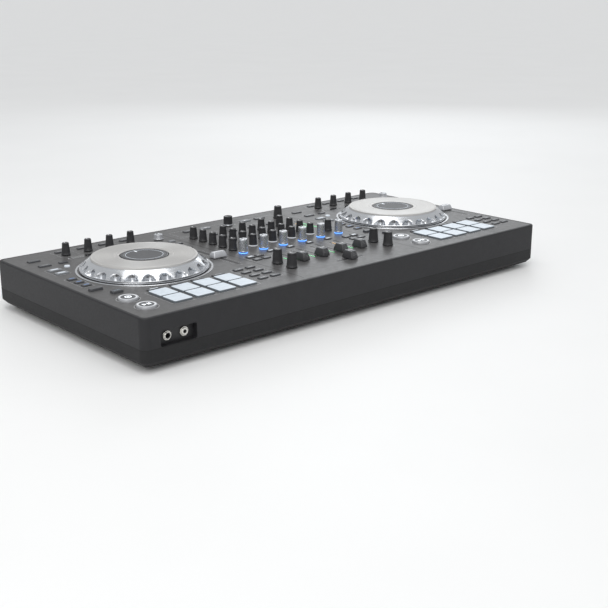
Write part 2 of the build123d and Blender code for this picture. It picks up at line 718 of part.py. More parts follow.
with BuildPart() as jog_surrounds:
    with BuildSketch(Plane.XY.offset(PANEL_TOP)):
        with Locations(jogs_at):
            Circle(RING_OUT_R)
            Circle(RING_IN_R, mode=Mode.SUBTRACT)
    extrude(amount=RING_H)
save(jog_surrounds, "jog_surrounds")

# ---------------------------------------------------------------- socket plates and sockets
INNER_Y = CASE_D / 2 - HOUSING_WALL
PLATE_OUT_W = WINDOW_W + 2 * SOCKET_PLATE_LAP
PLATE_H = WINDOW_H + 2 * SOCKET_PLATE_LAP
front_jacks = [(FRONT_WINDOW_X - FRONT_JACK_DX, JACK_R), (FRONT_WINDOW_X + FRONT_JACK_DX, MINI_JACK_R)]
rear_face = Plane(origin=(0, INNER_Y, 0), x_dir=(-1, 0, 0), z_dir=(0, 1, 0))
front_face = Plane(origin=(0, -INNER_Y, 0), x_dir=(1, 0, 0), z_dir=(0, -1, 0))

with BuildPart() as socket_plates:
    with BuildSketch(rear_face):
        with Locations((0, WINDOW_Z)):
            Rectangle(PLATE_OUT_W, PLATE_H)
        with Locations([(-x, WINDOW_Z) for x in REAR_JACK_X]):
            Circle(JACK_BUSHING_R + SOCKET_HOLE_FIT, mode=Mode.SUBTRACT)
        with Locations([(-x, WINDOW_Z + dz) for x in RCA_X for dz in (-RCA_RISE, RCA_RISE)]):
            Circle(RCA_R + SOCKET_HOLE_FIT, mode=Mode.SUBTRACT)
        with Locations([(-x, WINDOW_Z) for x in USB_X]):
            Rectangle(USB_W + SOCKET_HOLE_FIT, USB_H + SOCKET_HOLE_FIT, mode=Mode.SUBTRACT)
        with Locations((-EARTH_X, WINDOW_Z)):
            Circle(EARTH_R + SOCKET_HOLE_FIT, mode=Mode.SUBTRACT)
    extrude(amount=-SOCKET_PLATE_T)
    with BuildSketch(front_face):
        with Locations((FRONT_WINDOW_X, WINDOW_Z)):
            Rectangle(FRONT_WINDOW_W + 2 * SOCKET_PLATE_LAP, PLATE_H)
        with Locations([(x, WINDOW_Z) for x, r in front_jacks]):
            Circle(JACK_BUSHING_R + SOCKET_HOLE_FIT, mode=Mode.SUBTRACT)
    extrude(amount=-SOCKET_PLATE_T)
save(socket_plates, "socket_plates")


def make_jack(face, across, bore_r):
    """A panel jack: body behind the plate, bushing through it, ring nut in front and the blind bore."""
    with BuildPart() as jack:
        with BuildSketch(face.offset(-SOCKET_PLATE_T)):
            with Locations((across, WINDOW_Z)):
                RectangleRounded(JACK_BODY_W, JACK_BODY_W, 1)
        extrude(amount=-JACK_BODY_D)
        with BuildSketch(face.offset(-SOCKET_PLATE_T)):
            with Locations((across, WINDOW_Z)):
                Circle(JACK_BUSHING_R)
        extrude(amount=SOCKET_PLATE_T + JACK_PROUD)
        with BuildSketch(face):
            with Locations((across, WINDOW_Z)):
                RegularPolygon(JACK_NUT_R, 12)
        extrude(amount=JACK_NUT_T)
        with BuildSketch(face.offset(JACK_PROUD)):
            with Locations((across, WINDOW_Z)):
                Circle(bore_r)
        extrude(amount=-JACK_BODY_D, mode=Mode.SUBTRACT)
    return jack


def make_rca_pair(across):
    """Two phono sockets, one above the other, on a shared body behind the plate."""
    with BuildPart() as pair:
        with BuildSketch(rear_face.offset(-SOCKET_PLATE_T)):
            with Locations((across, WINDOW_Z)):
                Rectangle(RCA_BODY_W, 2 * RCA_RISE + RCA_BODY_W)
        extrude(amount=-RCA_BODY_D)
        with BuildSketch(rear_face.offset(-SOCKET_PLATE_T)):
            with Locations((across, WINDOW_Z - RCA_RISE), (across, WINDOW_Z + RCA_RISE)):
                Circle(RCA_R)
        extrude(amount=SOCKET_PLATE_T + RCA_PROUD)
    return pair


def make_usb(across):
    """A square data socket: shell, mouth and the tongue inside it."""
    with BuildPart() as usb:
        with BuildSketch(rear_face.offset(1)):
            with Locations((across, WINDOW_Z)):
                Rectangle(USB_W, USB_H)
        extrude(amount=-USB_BODY_D)
        with BuildSketch(rear_face.offset(1)):
            with Locations((across, WINDOW_Z)):
                RectangleRounded(USB_MOUTH_W, USB_MOUTH_H, 1)
                Rectangle(USB_TONGUE_W, USB_TONGUE_H, mode=Mode.SUBTRACT)
        extrude(amount=-USB_DEPTH, mode=Mode.SUBTRACT)
    return usb


single_sockets = [make_jack(rear_face, -x, JACK_R).part for x in REAR_JACK_X]
single_sockets += [make_jack(front_face, x, bore_r).part for x, bore_r in front_jacks]
single_sockets += [make_rca_pair(-x).part for x in RCA_X]
single_sockets += [make_usb(-x).part for x in USB_X]
with BuildPart() as sockets:
    for socket in single_sockets:
        add(socket)
    with BuildSketch(rear_face.offset(-SOCKET_PLATE_T)):
        with Locations((-EARTH_X, WINDOW_Z)):
            Circle(EARTH_R)
    extrude(amount=SOCKET_PLATE_T + JACK_PROUD + 3)
save(sockets, "sockets")
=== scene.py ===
"""Looks of the DJ controller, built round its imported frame. Lengths in the tables are millimetres."""

import math

import bpy
from mathutils import Matrix, Vector


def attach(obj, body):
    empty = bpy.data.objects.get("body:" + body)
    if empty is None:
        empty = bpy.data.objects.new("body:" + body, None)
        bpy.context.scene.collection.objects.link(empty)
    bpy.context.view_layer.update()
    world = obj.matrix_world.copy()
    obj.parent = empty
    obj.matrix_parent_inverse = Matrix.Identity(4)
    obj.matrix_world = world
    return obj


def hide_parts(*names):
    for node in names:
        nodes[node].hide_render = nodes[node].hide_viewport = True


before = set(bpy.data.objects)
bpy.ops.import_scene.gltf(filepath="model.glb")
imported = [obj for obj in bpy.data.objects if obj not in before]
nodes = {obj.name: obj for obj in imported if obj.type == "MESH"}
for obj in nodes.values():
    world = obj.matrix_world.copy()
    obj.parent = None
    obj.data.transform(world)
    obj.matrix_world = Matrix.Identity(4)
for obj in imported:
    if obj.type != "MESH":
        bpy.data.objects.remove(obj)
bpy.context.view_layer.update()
MM = 0.001

# ------------------------------------------------------------------ layout, as in the CAD
PANEL = 79.0
CAP_Z = PANEL + 1.0
DECK_X = 278.0
JOG_Y = 10.0
SIDE_X = 107.5
CHANNEL_X = [-64.5, -21.5, 21.5, 64.5]
ROW_Y = [116.5 - 27.5 * row for row in range(6)]
DECKS = {"left": -DECK_X, "right": DECK_X}
FX_X = [-51.0, -10.0, 31.0, 72.0]
PAD_X = [-57.9, -19.3, 19.3, 57.9]
PAD_Y = [-159.5, -124.5]


# ------------------------------------------------------------------ materials
def fresh(name):
    """A new node material and its main shader."""
    material = bpy.data.materials.new(name)
    material.use_nodes = True
    return material, material.node_tree, material.node_tree.nodes["Principled BSDF"]


def node(tree, kind, **values):
    """A shader node with its properties, and its sockets where a name has one."""
    made = tree.nodes.new(kind)
    for key, value in values.items():
        if key in made.inputs:
            made.inputs[key].default_value = value
        else:
            setattr(made, key, value)
    return made


def noise(tree, where, scale, detail=3.0, rough=0.55):
    made = node(tree, "ShaderNodeTexNoise", Scale=scale, Detail=detail, Roughness=rough)
    tree.links.new(where, made.inputs["Vector"])
    return made.outputs["Fac"]


def remap(tree, source, low, high, from_low=0.3, from_high=0.7):
    made = node(tree, "ShaderNodeMapRange")
    for key, value in (("From Min", from_low), ("From Max", from_high), ("To Min", low), ("To Max", high)):
        made.inputs[key].default_value = value
    tree.links.new(source, made.inputs["Value"])
    return made.outputs["Result"]


def tint(tree, colour_a, colour_b, amount):
    """Blends two colours, each a plain colour or a socket."""
    made = node(tree, "ShaderNodeMix", data_type="RGBA")
    for socket, value in ((made.inputs[6], colour_a), (made.inputs[7], colour_b)):
        if isinstance(value, tuple):
            socket.default_value = (*value, 1.0)
        else:
            tree.links.new(value, socket)
    tree.links.new(amount, made.inputs[0])
    return made.outputs[2]


def edge_mask(tree, radius, samples=4):
    """1 on sharp edges, 0 on flats, with the rounded normal that gives it."""
    rounded = node(tree, "ShaderNodeBevel", samples=samples, Radius=radius)
    flat = node(tree, "ShaderNodeNewGeometry")
    dot = node(tree, "ShaderNodeVectorMath", operation="DOT_PRODUCT")
    tree.links.new(rounded.outputs["Normal"], dot.inputs[0])
    tree.links.new(flat.outputs["Normal"], dot.inputs[1])
    return remap(tree, dot.outputs["Value"], 1.0, 0.0, 0.75, 0.99), rounded.outputs["Normal"]


def surface(
    name, colour, rough, metallic=0.0, mottle=0.10, mottle_scale=45.0, grain=0.12, grain_scale=2600.0,
    rough_spread=0.06, coat=0.0, edge=0.0, edge_highlight_colour=None, edge_radius=0.0006, specular=0.5,
):
    """A moulded, painted or metal finish: cloudy colour, fine grain, uneven gloss and softened edges with a painted
    highlight.
    """
    material, tree, shader = fresh(name)
    where = node(tree, "ShaderNodeTexCoord").outputs["Object"]
    darker = tuple(max(0.0, part * (1.0 - mottle)) for part in colour)
    lighter = tuple(min(1.0, part * (1.0 + mottle)) for part in colour)
    cloud = noise(tree, where, mottle_scale)
    paint = tint(tree, darker, lighter, remap(tree, cloud, 0.0, 1.0))
    speck = noise(tree, where, grain_scale, 2.0)
    normal = None
    # Painted highlight: sharp edges get a lighter colour, made patchy by noise; edge sets its strength.
    if edge > 0.0:
        mask, normal = edge_mask(tree, edge_radius)
        highlight_breakup = noise(tree, where, 240.0, 4.0)
        edge_highlight = node(tree, "ShaderNodeMath", operation="MULTIPLY")
        tree.links.new(mask, edge_highlight.inputs[0])
        tree.links.new(remap(tree, highlight_breakup, 0.0, edge, 0.35, 0.6), edge_highlight.inputs[1])
        # Without a given colour, the painted edge highlight is the base colour made about twice as light.
        paint = tint(tree, paint, edge_highlight_colour or tuple(min(1.0, part * 2.2 + 0.02) for part in colour), edge_highlight.outputs[0])
    tree.links.new(paint, shader.inputs["Base Color"])
    tree.links.new(
        remap(tree, noise(tree, where, mottle_scale * 6, 4.0), rough - rough_spread, rough + rough_spread),
        shader.inputs["Roughness"],
    )
    bump = node(tree, "ShaderNodeBump", Strength=grain, Distance=0.0001)
    tree.links.new(speck, bump.inputs["Height"])
    if normal is not None:
        tree.links.new(normal, bump.inputs["Normal"])
    tree.links.new(bump.outputs["Normal"], shader.inputs["Normal"])
    shader.inputs["Metallic"].default_value = metallic
    shader.inputs["Coat Weight"].default_value = coat
    shader.inputs["Coat Roughness"].default_value = 0.12
    shader.inputs["Specular IOR Level"].default_value = specular
    return material


def spun(name, colour, centre, rough, metallic=1.0, pitch=0.00035, depth=0.25, spread=0.12, anisotropic=0.7):
    """Turned metal: fine rings of colour, gloss and height round an upright axis."""
    material, tree, shader = fresh(name)
    where = node(tree, "ShaderNodeTexCoord").outputs["Object"]
    split = node(tree, "ShaderNodeSeparateXYZ")
    tree.links.new(where, split.inputs[0])
    plan = node(tree, "ShaderNodeCombineXYZ")
    tree.links.new(split.outputs["X"], plan.inputs["X"])
    tree.links.new(split.outputs["Y"], plan.inputs["Y"])
    away = node(tree, "ShaderNodeVectorMath", operation="DISTANCE")
    tree.links.new(plan.outputs[0], away.inputs[0])
    away.inputs[1].default_value = (centre[0] * MM, centre[1] * MM, 0.0)
    rings = node(tree, "ShaderNodeTexNoise", noise_dimensions="1D", Scale=1.0 / pitch, Detail=4.0, Roughness=0.7)
    tree.links.new(away.outputs["Value"], rings.inputs["W"])
    wide = node(tree, "ShaderNodeTexNoise", noise_dimensions="1D", Scale=0.12 / pitch, Detail=2.0)
    tree.links.new(away.outputs["Value"], wide.inputs["W"])
    darker = tuple(part * (1.0 - spread) for part in colour)
    lighter = tuple(min(1.0, part * (1.0 + spread * 0.6)) for part in colour)
    paint = tint(tree, darker, lighter, remap(tree, rings.outputs["Fac"], 0.0, 1.0, 0.35, 0.65))
    cloud = noise(tree, where, 30.0)
    paint = tint(tree, paint, tuple(part * 0.9 for part in colour), remap(tree, cloud, 0.0, 0.35, 0.45, 0.8))
    tree.links.new(paint, shader.inputs["Base Color"])
    tree.links.new(remap(tree, wide.outputs["Fac"], rough - 0.06, rough + 0.08), shader.inputs["Roughness"])
    bump = node(tree, "ShaderNodeBump", Strength=depth, Distance=0.00006)
    tree.links.new(rings.outputs["Fac"], bump.inputs["Height"])
    tree.links.new(bump.outputs["Normal"], shader.inputs["Normal"])
    shader.inputs["Metallic"].default_value = metallic
    shader.inputs["Anisotropic"].default_value = anisotropic
    tangent = node(tree, "ShaderNodeTangent", direction_type="RADIAL", axis="Z")
    tree.links.new(tangent.outputs[0], shader.inputs["Tangent"])
    return material


def glowing(name, colour, strength, base=None, rough=0.35, mottle=0.08):
    """A lit translucent plastic: soft, slightly uneven light from below and a satin skin."""
    material, tree, shader = fresh(name)
    where = node(tree, "ShaderNodeTexCoord").outputs["Object"]
    cloud = noise(tree, where, 120.0)
    base = base or colour
    tree.links.new(
        tint(tree, base, tuple(part * (1.0 - mottle * 2) for part in base), remap(tree, cloud, 0.0, 1.0)),
        shader.inputs["Base Color"],
    )
    tree.links.new(
        tint(tree, colour, tuple(part * (1.0 - mottle) for part in colour), remap(tree, cloud, 1.0, 0.0)),
        shader.inputs["Emission Color"],
    )
    shader.inputs["Emission Strength"].default_value = strength
    tree.links.new(
        remap(tree, noise(tree, where, 900.0), rough - 0.05, rough + 0.08), shader.inputs["Roughness"]
    )
    bump = node(tree, "ShaderNodeBump", Strength=0.08, Distance=0.0001)
    tree.links.new(noise(tree, where, 2400.0), bump.inputs["Height"])
    tree.links.new(bump.outputs["Normal"], shader.inputs["Normal"])
    return material


BLACK = (0.022, 0.022, 0.024)
# Where a finish has an edge strength and an edge colour, that lighter colour is a painted highlight on its sharp edges.
mats = {
    "panel": surface("panel_paint", (0.112, 0.110, 0.110), 0.43, 0.30, 0.07, 22.0, 0.25, 3200.0, 0.05, 0.0, 0.5,
                     (0.22, 0.22, 0.23), 0.0005),
    "case": surface("case_plastic", (0.016, 0.016, 0.018), 0.50, 0.0, 0.08, 60.0, 0.55, 1400.0, 0.04, 0.0, 0.5,
                    (0.07, 0.07, 0.075), 0.0008, 0.35),
    "tray": surface("tray_plastic", (0.012, 0.012, 0.013), 0.60, 0.0, 0.10, 60.0, 0.75, 1000.0, 0.04, 0.0, 0.4,
                    (0.05, 0.05, 0.052), 0.0008, 0.35),
    "rubber": surface("foot_rubber", (0.020, 0.020, 0.020), 0.82, 0.0, 0.25, 80.0, 0.7, 1700.0, 0.08),
    "knob": surface("knob_plastic", BLACK, 0.46, 0.0, 0.15, 160.0, 0.25, 3000.0, 0.08, 0.0, 0.5,
                    (0.13, 0.13, 0.14), 0.0004),
    "knob_top": surface("knob_top", (0.030, 0.030, 0.033), 0.34, 0.0, 0.12, 200.0, 0.15, 3500.0, 0.06, 0.1),
    "ink": surface("pointer_ink", (0.82, 0.83, 0.84), 0.45, 0.0, 0.05, 400.0, 0.1),
    "print": surface("panel_ink", (0.50, 0.51, 0.52), 0.55, 0.0, 0.12, 600.0, 0.08),
    "print_dark": surface("panel_ink_dark", (0.020, 0.020, 0.021), 0.5, 0.0, 0.12, 300.0, 0.08),
    # Near-black, darker than the black plastic: painted shade in the case seam, and in the socket bores over their real
    # dark inside.
    "gap": surface("recess_black_and_painted_shade", (0.006, 0.006, 0.006), 0.8, 0.0, 0.2),
    "silver": surface("silver_cap", (0.66, 0.68, 0.71), 0.27, 0.9, 0.03, 120.0, 0.04, 2600.0, 0.04, 0.0, 0.25,
                      (0.9, 0.91, 0.93), 0.0004),
    "silver_paint": surface("silver_paint", (0.50, 0.51, 0.53), 0.36, 0.55, 0.06, 120.0, 0.2, 3000.0, 0.05, 0.15,
                            0.6, (0.78, 0.79, 0.80), 0.0005),
    "fader": surface("fader_cap", (0.040, 0.040, 0.043), 0.40, 0.0, 0.12, 150.0, 0.2, 3000.0, 0.07, 0.1, 0.9,
                     (0.34, 0.35, 0.36), 0.0006),
    "lever": surface("lever_steel", (0.45, 0.45, 0.46), 0.35, 1.0, 0.10, 200.0, 0.1),
    "screw": surface("screw_steel", (0.28, 0.28, 0.29), 0.38, 1.0, 0.2, 300.0, 0.2, 2000.0, 0.1, 0.0, 0.6,
                     (0.6, 0.6, 0.6), 0.0003),
    "key": surface("key_plastic", (0.060, 0.062, 0.068), 0.36, 0.0, 0.10, 200.0, 0.15, 3000.0, 0.06, 0.1, 0.8,
                   (0.30, 0.31, 0.33), 0.0004),
    "key_grey": surface("key_grey", (0.20, 0.21, 0.225), 0.38, 0.0, 0.08, 200.0, 0.15, 3000.0, 0.06, 0.1, 0.6,
                        (0.45, 0.46, 0.48), 0.0004),
    "key_blue": glowing("key_blue", (0.12, 0.30, 0.75), 0.35, (0.10, 0.16, 0.28)),
    "key_white": glowing("key_white", (0.72, 0.80, 0.88), 0.32, (0.50, 0.53, 0.57)),
    "pad": glowing("pad_silicone", (0.72, 0.84, 0.97), 0.22, (0.53, 0.57, 0.61), 0.42),
    # Pad sides: a darker, dimmer copy of the pad silicone, painted shade on the sides.
    "pad_side": glowing("pad_side", (0.45, 0.58, 0.72), 0.03, (0.13, 0.145, 0.16), 0.5),
    "symbol": glowing("lit_symbol", (0.92, 0.96, 1.0), 0.85),
    "ring_light": glowing("ring_light", (0.95, 0.98, 1.0), 0.30, (0.46, 0.47, 0.49)),
    "blue_light": glowing("blue_light", (0.10, 0.32, 1.0), 2.2, (0.2, 0.35, 0.8)),
    "green_light": glowing("green_light", (0.10, 0.85, 0.25), 1.3, (0.05, 0.3, 0.1)),
    "amber_light": glowing("amber_light", (1.0, 0.55, 0.08), 1.3, (0.4, 0.22, 0.04)),
    "light_off": surface("light_off", (0.035, 0.045, 0.038), 0.3, 0.0, 0.1),
    "window": surface("window_gloss", (0.010, 0.010, 0.012), 0.10, 0.0, 0.2, 60.0, 0.02, 900.0, 0.03, 0.6),
    "display": surface("display_window", (0.095, 0.097, 0.102), 0.50, 0.0, 0.07, 30.0, 0.08, 1800.0, 0.05, 0.0,
                       specular=0.25),
    "display_rim": surface("display_rim", (0.030, 0.031, 0.034), 0.30, 0.0, 0.1),
    "board": surface("board_laminate", (0.015, 0.09, 0.04), 0.45, 0.0, 0.25, 90.0, 0.3, 1200.0, 0.08, 0.2),
    "pot": surface("pot_steel", (0.42, 0.42, 0.43), 0.38, 0.9, 0.15, 120.0, 0.2, 1500.0, 0.1),
    "post": surface("post_plastic", (0.05, 0.05, 0.055), 0.5, 0.0, 0.1, 60.0, 0.3),
    "nickel": surface("socket_nickel", (0.62, 0.61, 0.58), 0.22, 1.0, 0.06, 200.0, 0.08, 2000.0, 0.06, 0.0, 0.5,
                      (0.85, 0.84, 0.82), 0.0003),
    "socket_black": surface("socket_black", (0.016, 0.016, 0.017), 0.45, 0.0, 0.15, 200.0, 0.3),
    "phono_red": surface("phono_red", (0.55, 0.03, 0.025), 0.40, 0.0, 0.08, 300.0, 0.15),
    "phono_white": surface("phono_white", (0.78, 0.77, 0.74), 0.42, 0.0, 0.05, 300.0, 0.15),
    "socket_panel": surface("socket_panel", (0.030, 0.030, 0.032), 0.46, 0.3, 0.15, 40.0, 0.3, 2600.0, 0.06, 0.0,
                            0.5, (0.14, 0.14, 0.15), 0.0004),
}
for side, deck_x in DECKS.items():
    mats[f"spun_{side}"] = spun(f"jog_top_spun_{side}", (0.57, 0.56, 0.545), (deck_x, JOG_Y), 0.40, 0.6)
    mats[f"rim_{side}"] = spun(
        f"jog_rim_turned_{side}", (0.66, 0.675, 0.70), (deck_x, JOG_Y), 0.20, 1.0, 0.0006, 0.12, 0.05, 0.3
    )
    mats[f"ring_{side}"] = spun(
        f"jog_ring_turned_{side}", (0.70, 0.71, 0.73), (deck_x, JOG_Y), 0.24, 1.0, 0.0004, 0.1, 0.05, 0.3
    )


# ------------------------------------------------------------------ mesh making
class Shape:
    """Faces gathered in millimetres, each with the material it wears."""

    def __init__(self):
        self.points, self.faces, self.wear = [], [], []

    def ring(self, points):
        start = len(self.points)
        self.points.extend(points)
        return list(range(start, start + len(points)))

    def face(self, corners, material):
        self.faces.append(corners)
        self.wear.append(material)

    def bridge(self, low, high, material):
        """Quads between two closed rings; material may be a name or a function of the segment."""
        count = len(low)
        for i in range(count):
            j = (i + 1) % count
            name = material(i) if callable(material) else material
            self.face((low[i], low[j], high[j], high[i]), name)

    def cap(self, ring, material, flip=False):
        self.face(tuple(reversed(ring)) if flip else tuple(ring), material)

    def build(self, name, body, smooth=35.0, replaces=()):
        """Makes the piece, in metres, riding on its body."""
        names = sorted(set(self.wear))
        mesh = bpy.data.meshes.new(name)
        mesh.from_pydata([(x * MM, y * MM, z * MM) for x, y, z in self.points], [], self.faces)
        for key in names:
            mesh.materials.append(mats[key])
        mesh.polygons.foreach_set("material_index", [names.index(key) for key in self.wear])
        mesh.polygons.foreach_set("use_smooth", [True] * len(self.faces))
        mesh.update()
        mesh.set_sharp_from_angle(angle=math.radians(smooth))
        piece = bpy.data.objects.new(name, mesh)
        bpy.context.scene.collection.objects.link(piece)
        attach(piece, body)
        if replaces:
            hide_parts(*replaces)
        return piece


def circle(cx, cy, r, z, count=48, turn=0.0):
    return [
        (cx + r * math.cos(turn + math.tau * i / count), cy + r * math.sin(turn + math.tau * i / count), z)
        for i in range(count)
    ]


def rounded(cx, cy, w, d, r, z, steps=5):
    """A rounded rectangle's outline, anticlockwise from above."""
    r = max(0.02, min(r, w / 2 - 0.01, d / 2 - 0.01))
    points = []
    for sx, sy, start in ((1, -1, -90), (1, 1, 0), (-1, 1, 90), (-1, -1, 180)):
        for i in range(steps + 1):
            a = math.radians(start + 90.0 * i / steps)
            points.append((cx + sx * (w / 2 - r) + r * math.cos(a), cy + sy * (d / 2 - r) + r * math.sin(a), z))
    return points


def turned(shape, cx, cy, profile, count=48, flutes=0, depth=0.0, flute_span=(0, 0), bottom=True):
    """A lathe form from (radius, height, material) rows, fluted between two heights."""
    rings = []
    for r, z, material in profile:
        points = []
        for i in range(count):
            a = math.tau * i / count
            cut = 0.0
            if flutes and flute_span[0] <= z <= flute_span[1]:
                cut = depth * (0.5 - 0.5 * math.cos(flutes * a)) ** 1.5
            points.append((cx + (r - cut) * math.cos(a), cy + (r - cut) * math.sin(a), z))
        rings.append(shape.ring(points))
    for low, high, (r, z, material) in zip(rings, rings[1:], profile[1:]):
        shape.bridge(low, high, material)
    if bottom:
        shape.cap(rings[0], profile[0][2], flip=True)
    shape.cap(rings[-1], profile[-1][2])


def block(shape, cx, cy, rows, material, top=None, bottom=True, steps=5):
    """A moulded block from (width, depth, corner, height) rows, low to high."""
    rings = [shape.ring(rounded(cx, cy, w, d, r, z, steps)) for w, d, r, z in rows]
    for low, high in zip(rings, rings[1:]):
        shape.bridge(low, high, material)
    if bottom:
        shape.cap(rings[0], material, flip=True)
    shape.cap(rings[-1], top or material)


def key_cap(shape, cx, cy, w, d, low, high, corner, material, soft=0.45, top=None, foot=None):
    """A key with a softened top edge and a faintly dished face."""
    rows = [
        (w, d, corner, low),
        (w, d, corner, high - soft),
        (w - soft * 0.3, d - soft * 0.3, corner, high - soft * 0.45),
        (w - soft * 0.9, d - soft * 0.9, corner, high - soft * 0.1),
        (w - soft * 1.8, d - soft * 1.8, corner * 0.85, high),
    ]
    rings = [shape.ring(rounded(cx, cy, *row)) for row in rows]
    for index, (lower, upper) in enumerate(zip(rings, rings[1:])):
        shape.bridge(lower, upper, (foot or material) if index == 0 else material)
    shape.cap(rings[0], foot or material, flip=True)
    shape.cap(rings[-1], top or material)


def bar(shape, x0, y0, x1, y1, width, z, height, material):
    """A thin raised strip from one point to another."""
    dx, dy = x1 - x0, y1 - y0
    length = math.hypot(dx, dy)
    nx, ny = -dy / length * width / 2, dx / length * width / 2
    corners = [(x0 + nx, y0 + ny), (x0 - nx, y0 - ny), (x1 - nx, y1 - ny), (x1 + nx, y1 + ny)]
    low = shape.ring([(x, y, z) for x, y in corners])
    high = shape.ring([(x, y, z + height) for x, y in corners])
    shape.bridge(low, high, material)
    shape.cap(high, material)
    shape.cap(low, material, flip=True)


def prism(shape, points, z, height, material):
    """A flat shape with straight sides, its points anticlockwise."""
    low = shape.ring([(x, y, z) for x, y in points])
    high = shape.ring([(x, y, z + height) for x, y in points])
    shape.bridge(low, high, material)
    shape.cap(high, material)
    shape.cap(low, material, flip=True)


def hoop(shape, cx, cy, r_in, r_out, z, height, material, count=64, soft=0.0):
    """A flat ring with softened top edges."""
    rows = [(r_out, z), (r_out, z + height - soft), (r_out - soft, z + height)]
    rows += [(r_in + soft, z + height), (r_in, z + height - soft), (r_in, z)]
    if soft == 0.0:
        rows = [rows[0], rows[2], rows[3], rows[5]]
    rings = [shape.ring(circle(cx, cy, r, height_z, count)) for r, height_z in rows]
    for low, high in zip(rings, rings[1:] + rings[:1]):
        shape.bridge(low, high, material)


def outline(shape, cx, cy, w, d, r, width, z, material):
    """A thin printed frame with rounded corners."""
    outer, inner = rounded(cx, cy, w, d, r, z), rounded(cx, cy, w - 2 * width, d - 2 * width, r - width, z)
    rings = [shape.ring(outer), shape.ring([(x, y, z + 0.06) for x, y, _ in outer])]
    rings += [shape.ring([(x, y, z + 0.06) for x, y, _ in inner]), shape.ring(inner)]
    for low, high in zip(rings, rings[1:] + rings[:1]):
        shape.bridge(low, high, material)


def arc_lines(shape, cx, cy, r_in, r_out, angles, width, z, material):
    for angle in angles:
        a = math.radians(90 - angle)
        c, s = math.cos(a), math.sin(a)
        bar(shape, cx + r_in * c, cy + r_in * s, cx + r_out * c, cy + r_out * s, width, z, 0.06, material)


# ------------------------------------------------------------------ knobs
def pointer(shape, cx, cy, rows, width, material):
    """A raised line up the far side of a cap and across its top; rows are (distance, height)."""
    left = shape.ring([(cx - width / 2, cy + y, z) for y, z in rows])
    right = shape.ring([(cx + width / 2, cy + y, z) for y, z in rows])
    for i in range(len(rows) - 1):
        shape.face((left[i], right[i], right[i + 1], left[i + 1]), material)
    inner = [(y - 0.5, z - 0.35) for y, z in rows]
    left_in = shape.ring([(cx - width / 2, cy + y, z) for y, z in inner])
    right_in = shape.ring([(cx + width / 2, cy + y, z) for y, z in inner])
    for i in range(len(rows) - 1):
        shape.face((left_in[i], left[i], left[i + 1], left_in[i + 1]), material)
        shape.face((right[i], right_in[i], right_in[i + 1], right[i + 1]), material)
        shape.face((right_in[i], left_in[i], left_in[i + 1], right_in[i + 1]), material)
    shape.face((left[0], left_in[0], right_in[0], right[0]), material)
    shape.face((left_in[-1], left[-1], right[-1], right_in[-1]), material)


def shaft(shape, cx, cy, top):
    turned(shape, cx, cy, [(3.0, 69.6, "lever"), (3.0, top, "lever")], 24)


def black_knob(shape, cx, cy, skirt, base, top, height, ring=None):
    """A soft black cap: flared skirt, fluted waist, bevelled and dished top, white pointer."""
    z = CAP_Z
    ring = ring or "knob"
    rows = [
        (skirt - 0.4, z, ring), (skirt, z + 0.35, ring), (skirt, z + 1.5, ring), (skirt - 0.35, z + 1.95, ring),
        (base, z + 2.5, "knob"), (base - 0.02, z + 3.2, "knob"),
    ]
    steps = 6
    for i in range(steps + 1):
        part = i / steps
        rows.append((base + (top - base) * part, z + 3.6 + (height - 5.6) * part, "knob"))
    rows += [
        (top, z + height - 1.4, "knob"), (top - 0.25, z + height - 0.6, "knob"), (top - 0.9, z + height, "knob"),
        (top - 1.5, z + height - 0.05, "knob_top"), (top - 2.0, z + height - 0.45, "knob_top"),
    ]
    turned(shape, cx, cy, rows, 72, 18, 0.42, (z + 3.6, z + height - 2.0))
    line = [
        (base + 0.02, z + 3.4), (top + 0.08, z + height - 1.4), (top - 0.12, z + height - 0.45),
        (top - 0.85, z + height + 0.0), (1.6, z + height + 0.0),
    ]
    pointer(shape, cx, cy, line, 1.15, "ink")
    shaft(shape, cx, cy, z + 1.0)


def silver_knob(shape, cx, cy, skirt, base, top, height):
    """A tall silver cap on a blue-lit base ring, with a fine knurl and a black pointer."""
    z = CAP_Z
    rows = [
        (skirt - 0.2, z, "blue_light"), (skirt, z + 0.2, "blue_light"), (skirt, z + 1.2, "blue_light"),
        (skirt - 0.3, z + 1.45, "blue_light"), (base - 0.5, z + 1.6, "knob"), (base - 0.5, z + 2.2, "knob"),
        (base, z + 2.5, "silver"), (base, z + 3.4, "silver"), (base - 0.1, z + 3.7, "silver"),
        (top + 0.1, z + height - 4.2, "silver"), (top, z + height - 3.9, "silver"),
        (top, z + height - 0.7, "silver"), (top - 0.2, z + height - 0.25, "silver"),
        (top - 0.7, z + height, "silver"), (top - 1.6, z + height - 0.02, "silver"),
        (top - 1.9, z + height - 0.3, "silver_paint"),
    ]
    turned(shape, cx, cy, rows, 96, 32, 0.34, (z + 3.65, z + height - 4.0))
    line = [(top + 0.12, z + height - 3.7), (top + 0.1, z + height - 0.75), (top - 0.7, z + height + 0.0),
            (1.4, z + height + 0.0)]
    pointer(shape, cx, cy, line, 1.3, "knob")
    shaft(shape, cx, cy, z + 1.0)


def flat_knob(shape, cx, cy, skirt, base, top, height):
    """A low silver dial with a coarse grip."""
    z = CAP_Z
    rows = [
        (skirt - 0.3, z, "silver_paint"), (skirt, z + 0.3, "silver_paint"), (skirt, z + 0.8, "silver_paint"),
        (base, z + 1.1, "silver_paint"), (base, z + 1.6, "silver_paint"), (top + 0.3, z + height - 1.4, "silver_paint"),
        (top + 0.1, z + height - 1.1, "silver_paint"), (top - 0.2, z + height - 0.3, "silver_paint"),
        (top - 0.8, z + height, "silver_paint"), (top - 1.8, z + height - 0.05, "silver"),
        (top - 2.2, z + height - 0.4, "silver"),
    ]
    turned(shape, cx, cy, rows, 96, 24, 0.45, (z + 1.5, z + height - 1.2))
    line = [(top - 0.8, z + height + 0.0), (2.0, z + height + 0.0)]
    pointer(shape, cx, cy, line, 1.1, "knob")
    shaft(shape, cx, cy, z + 1.0)


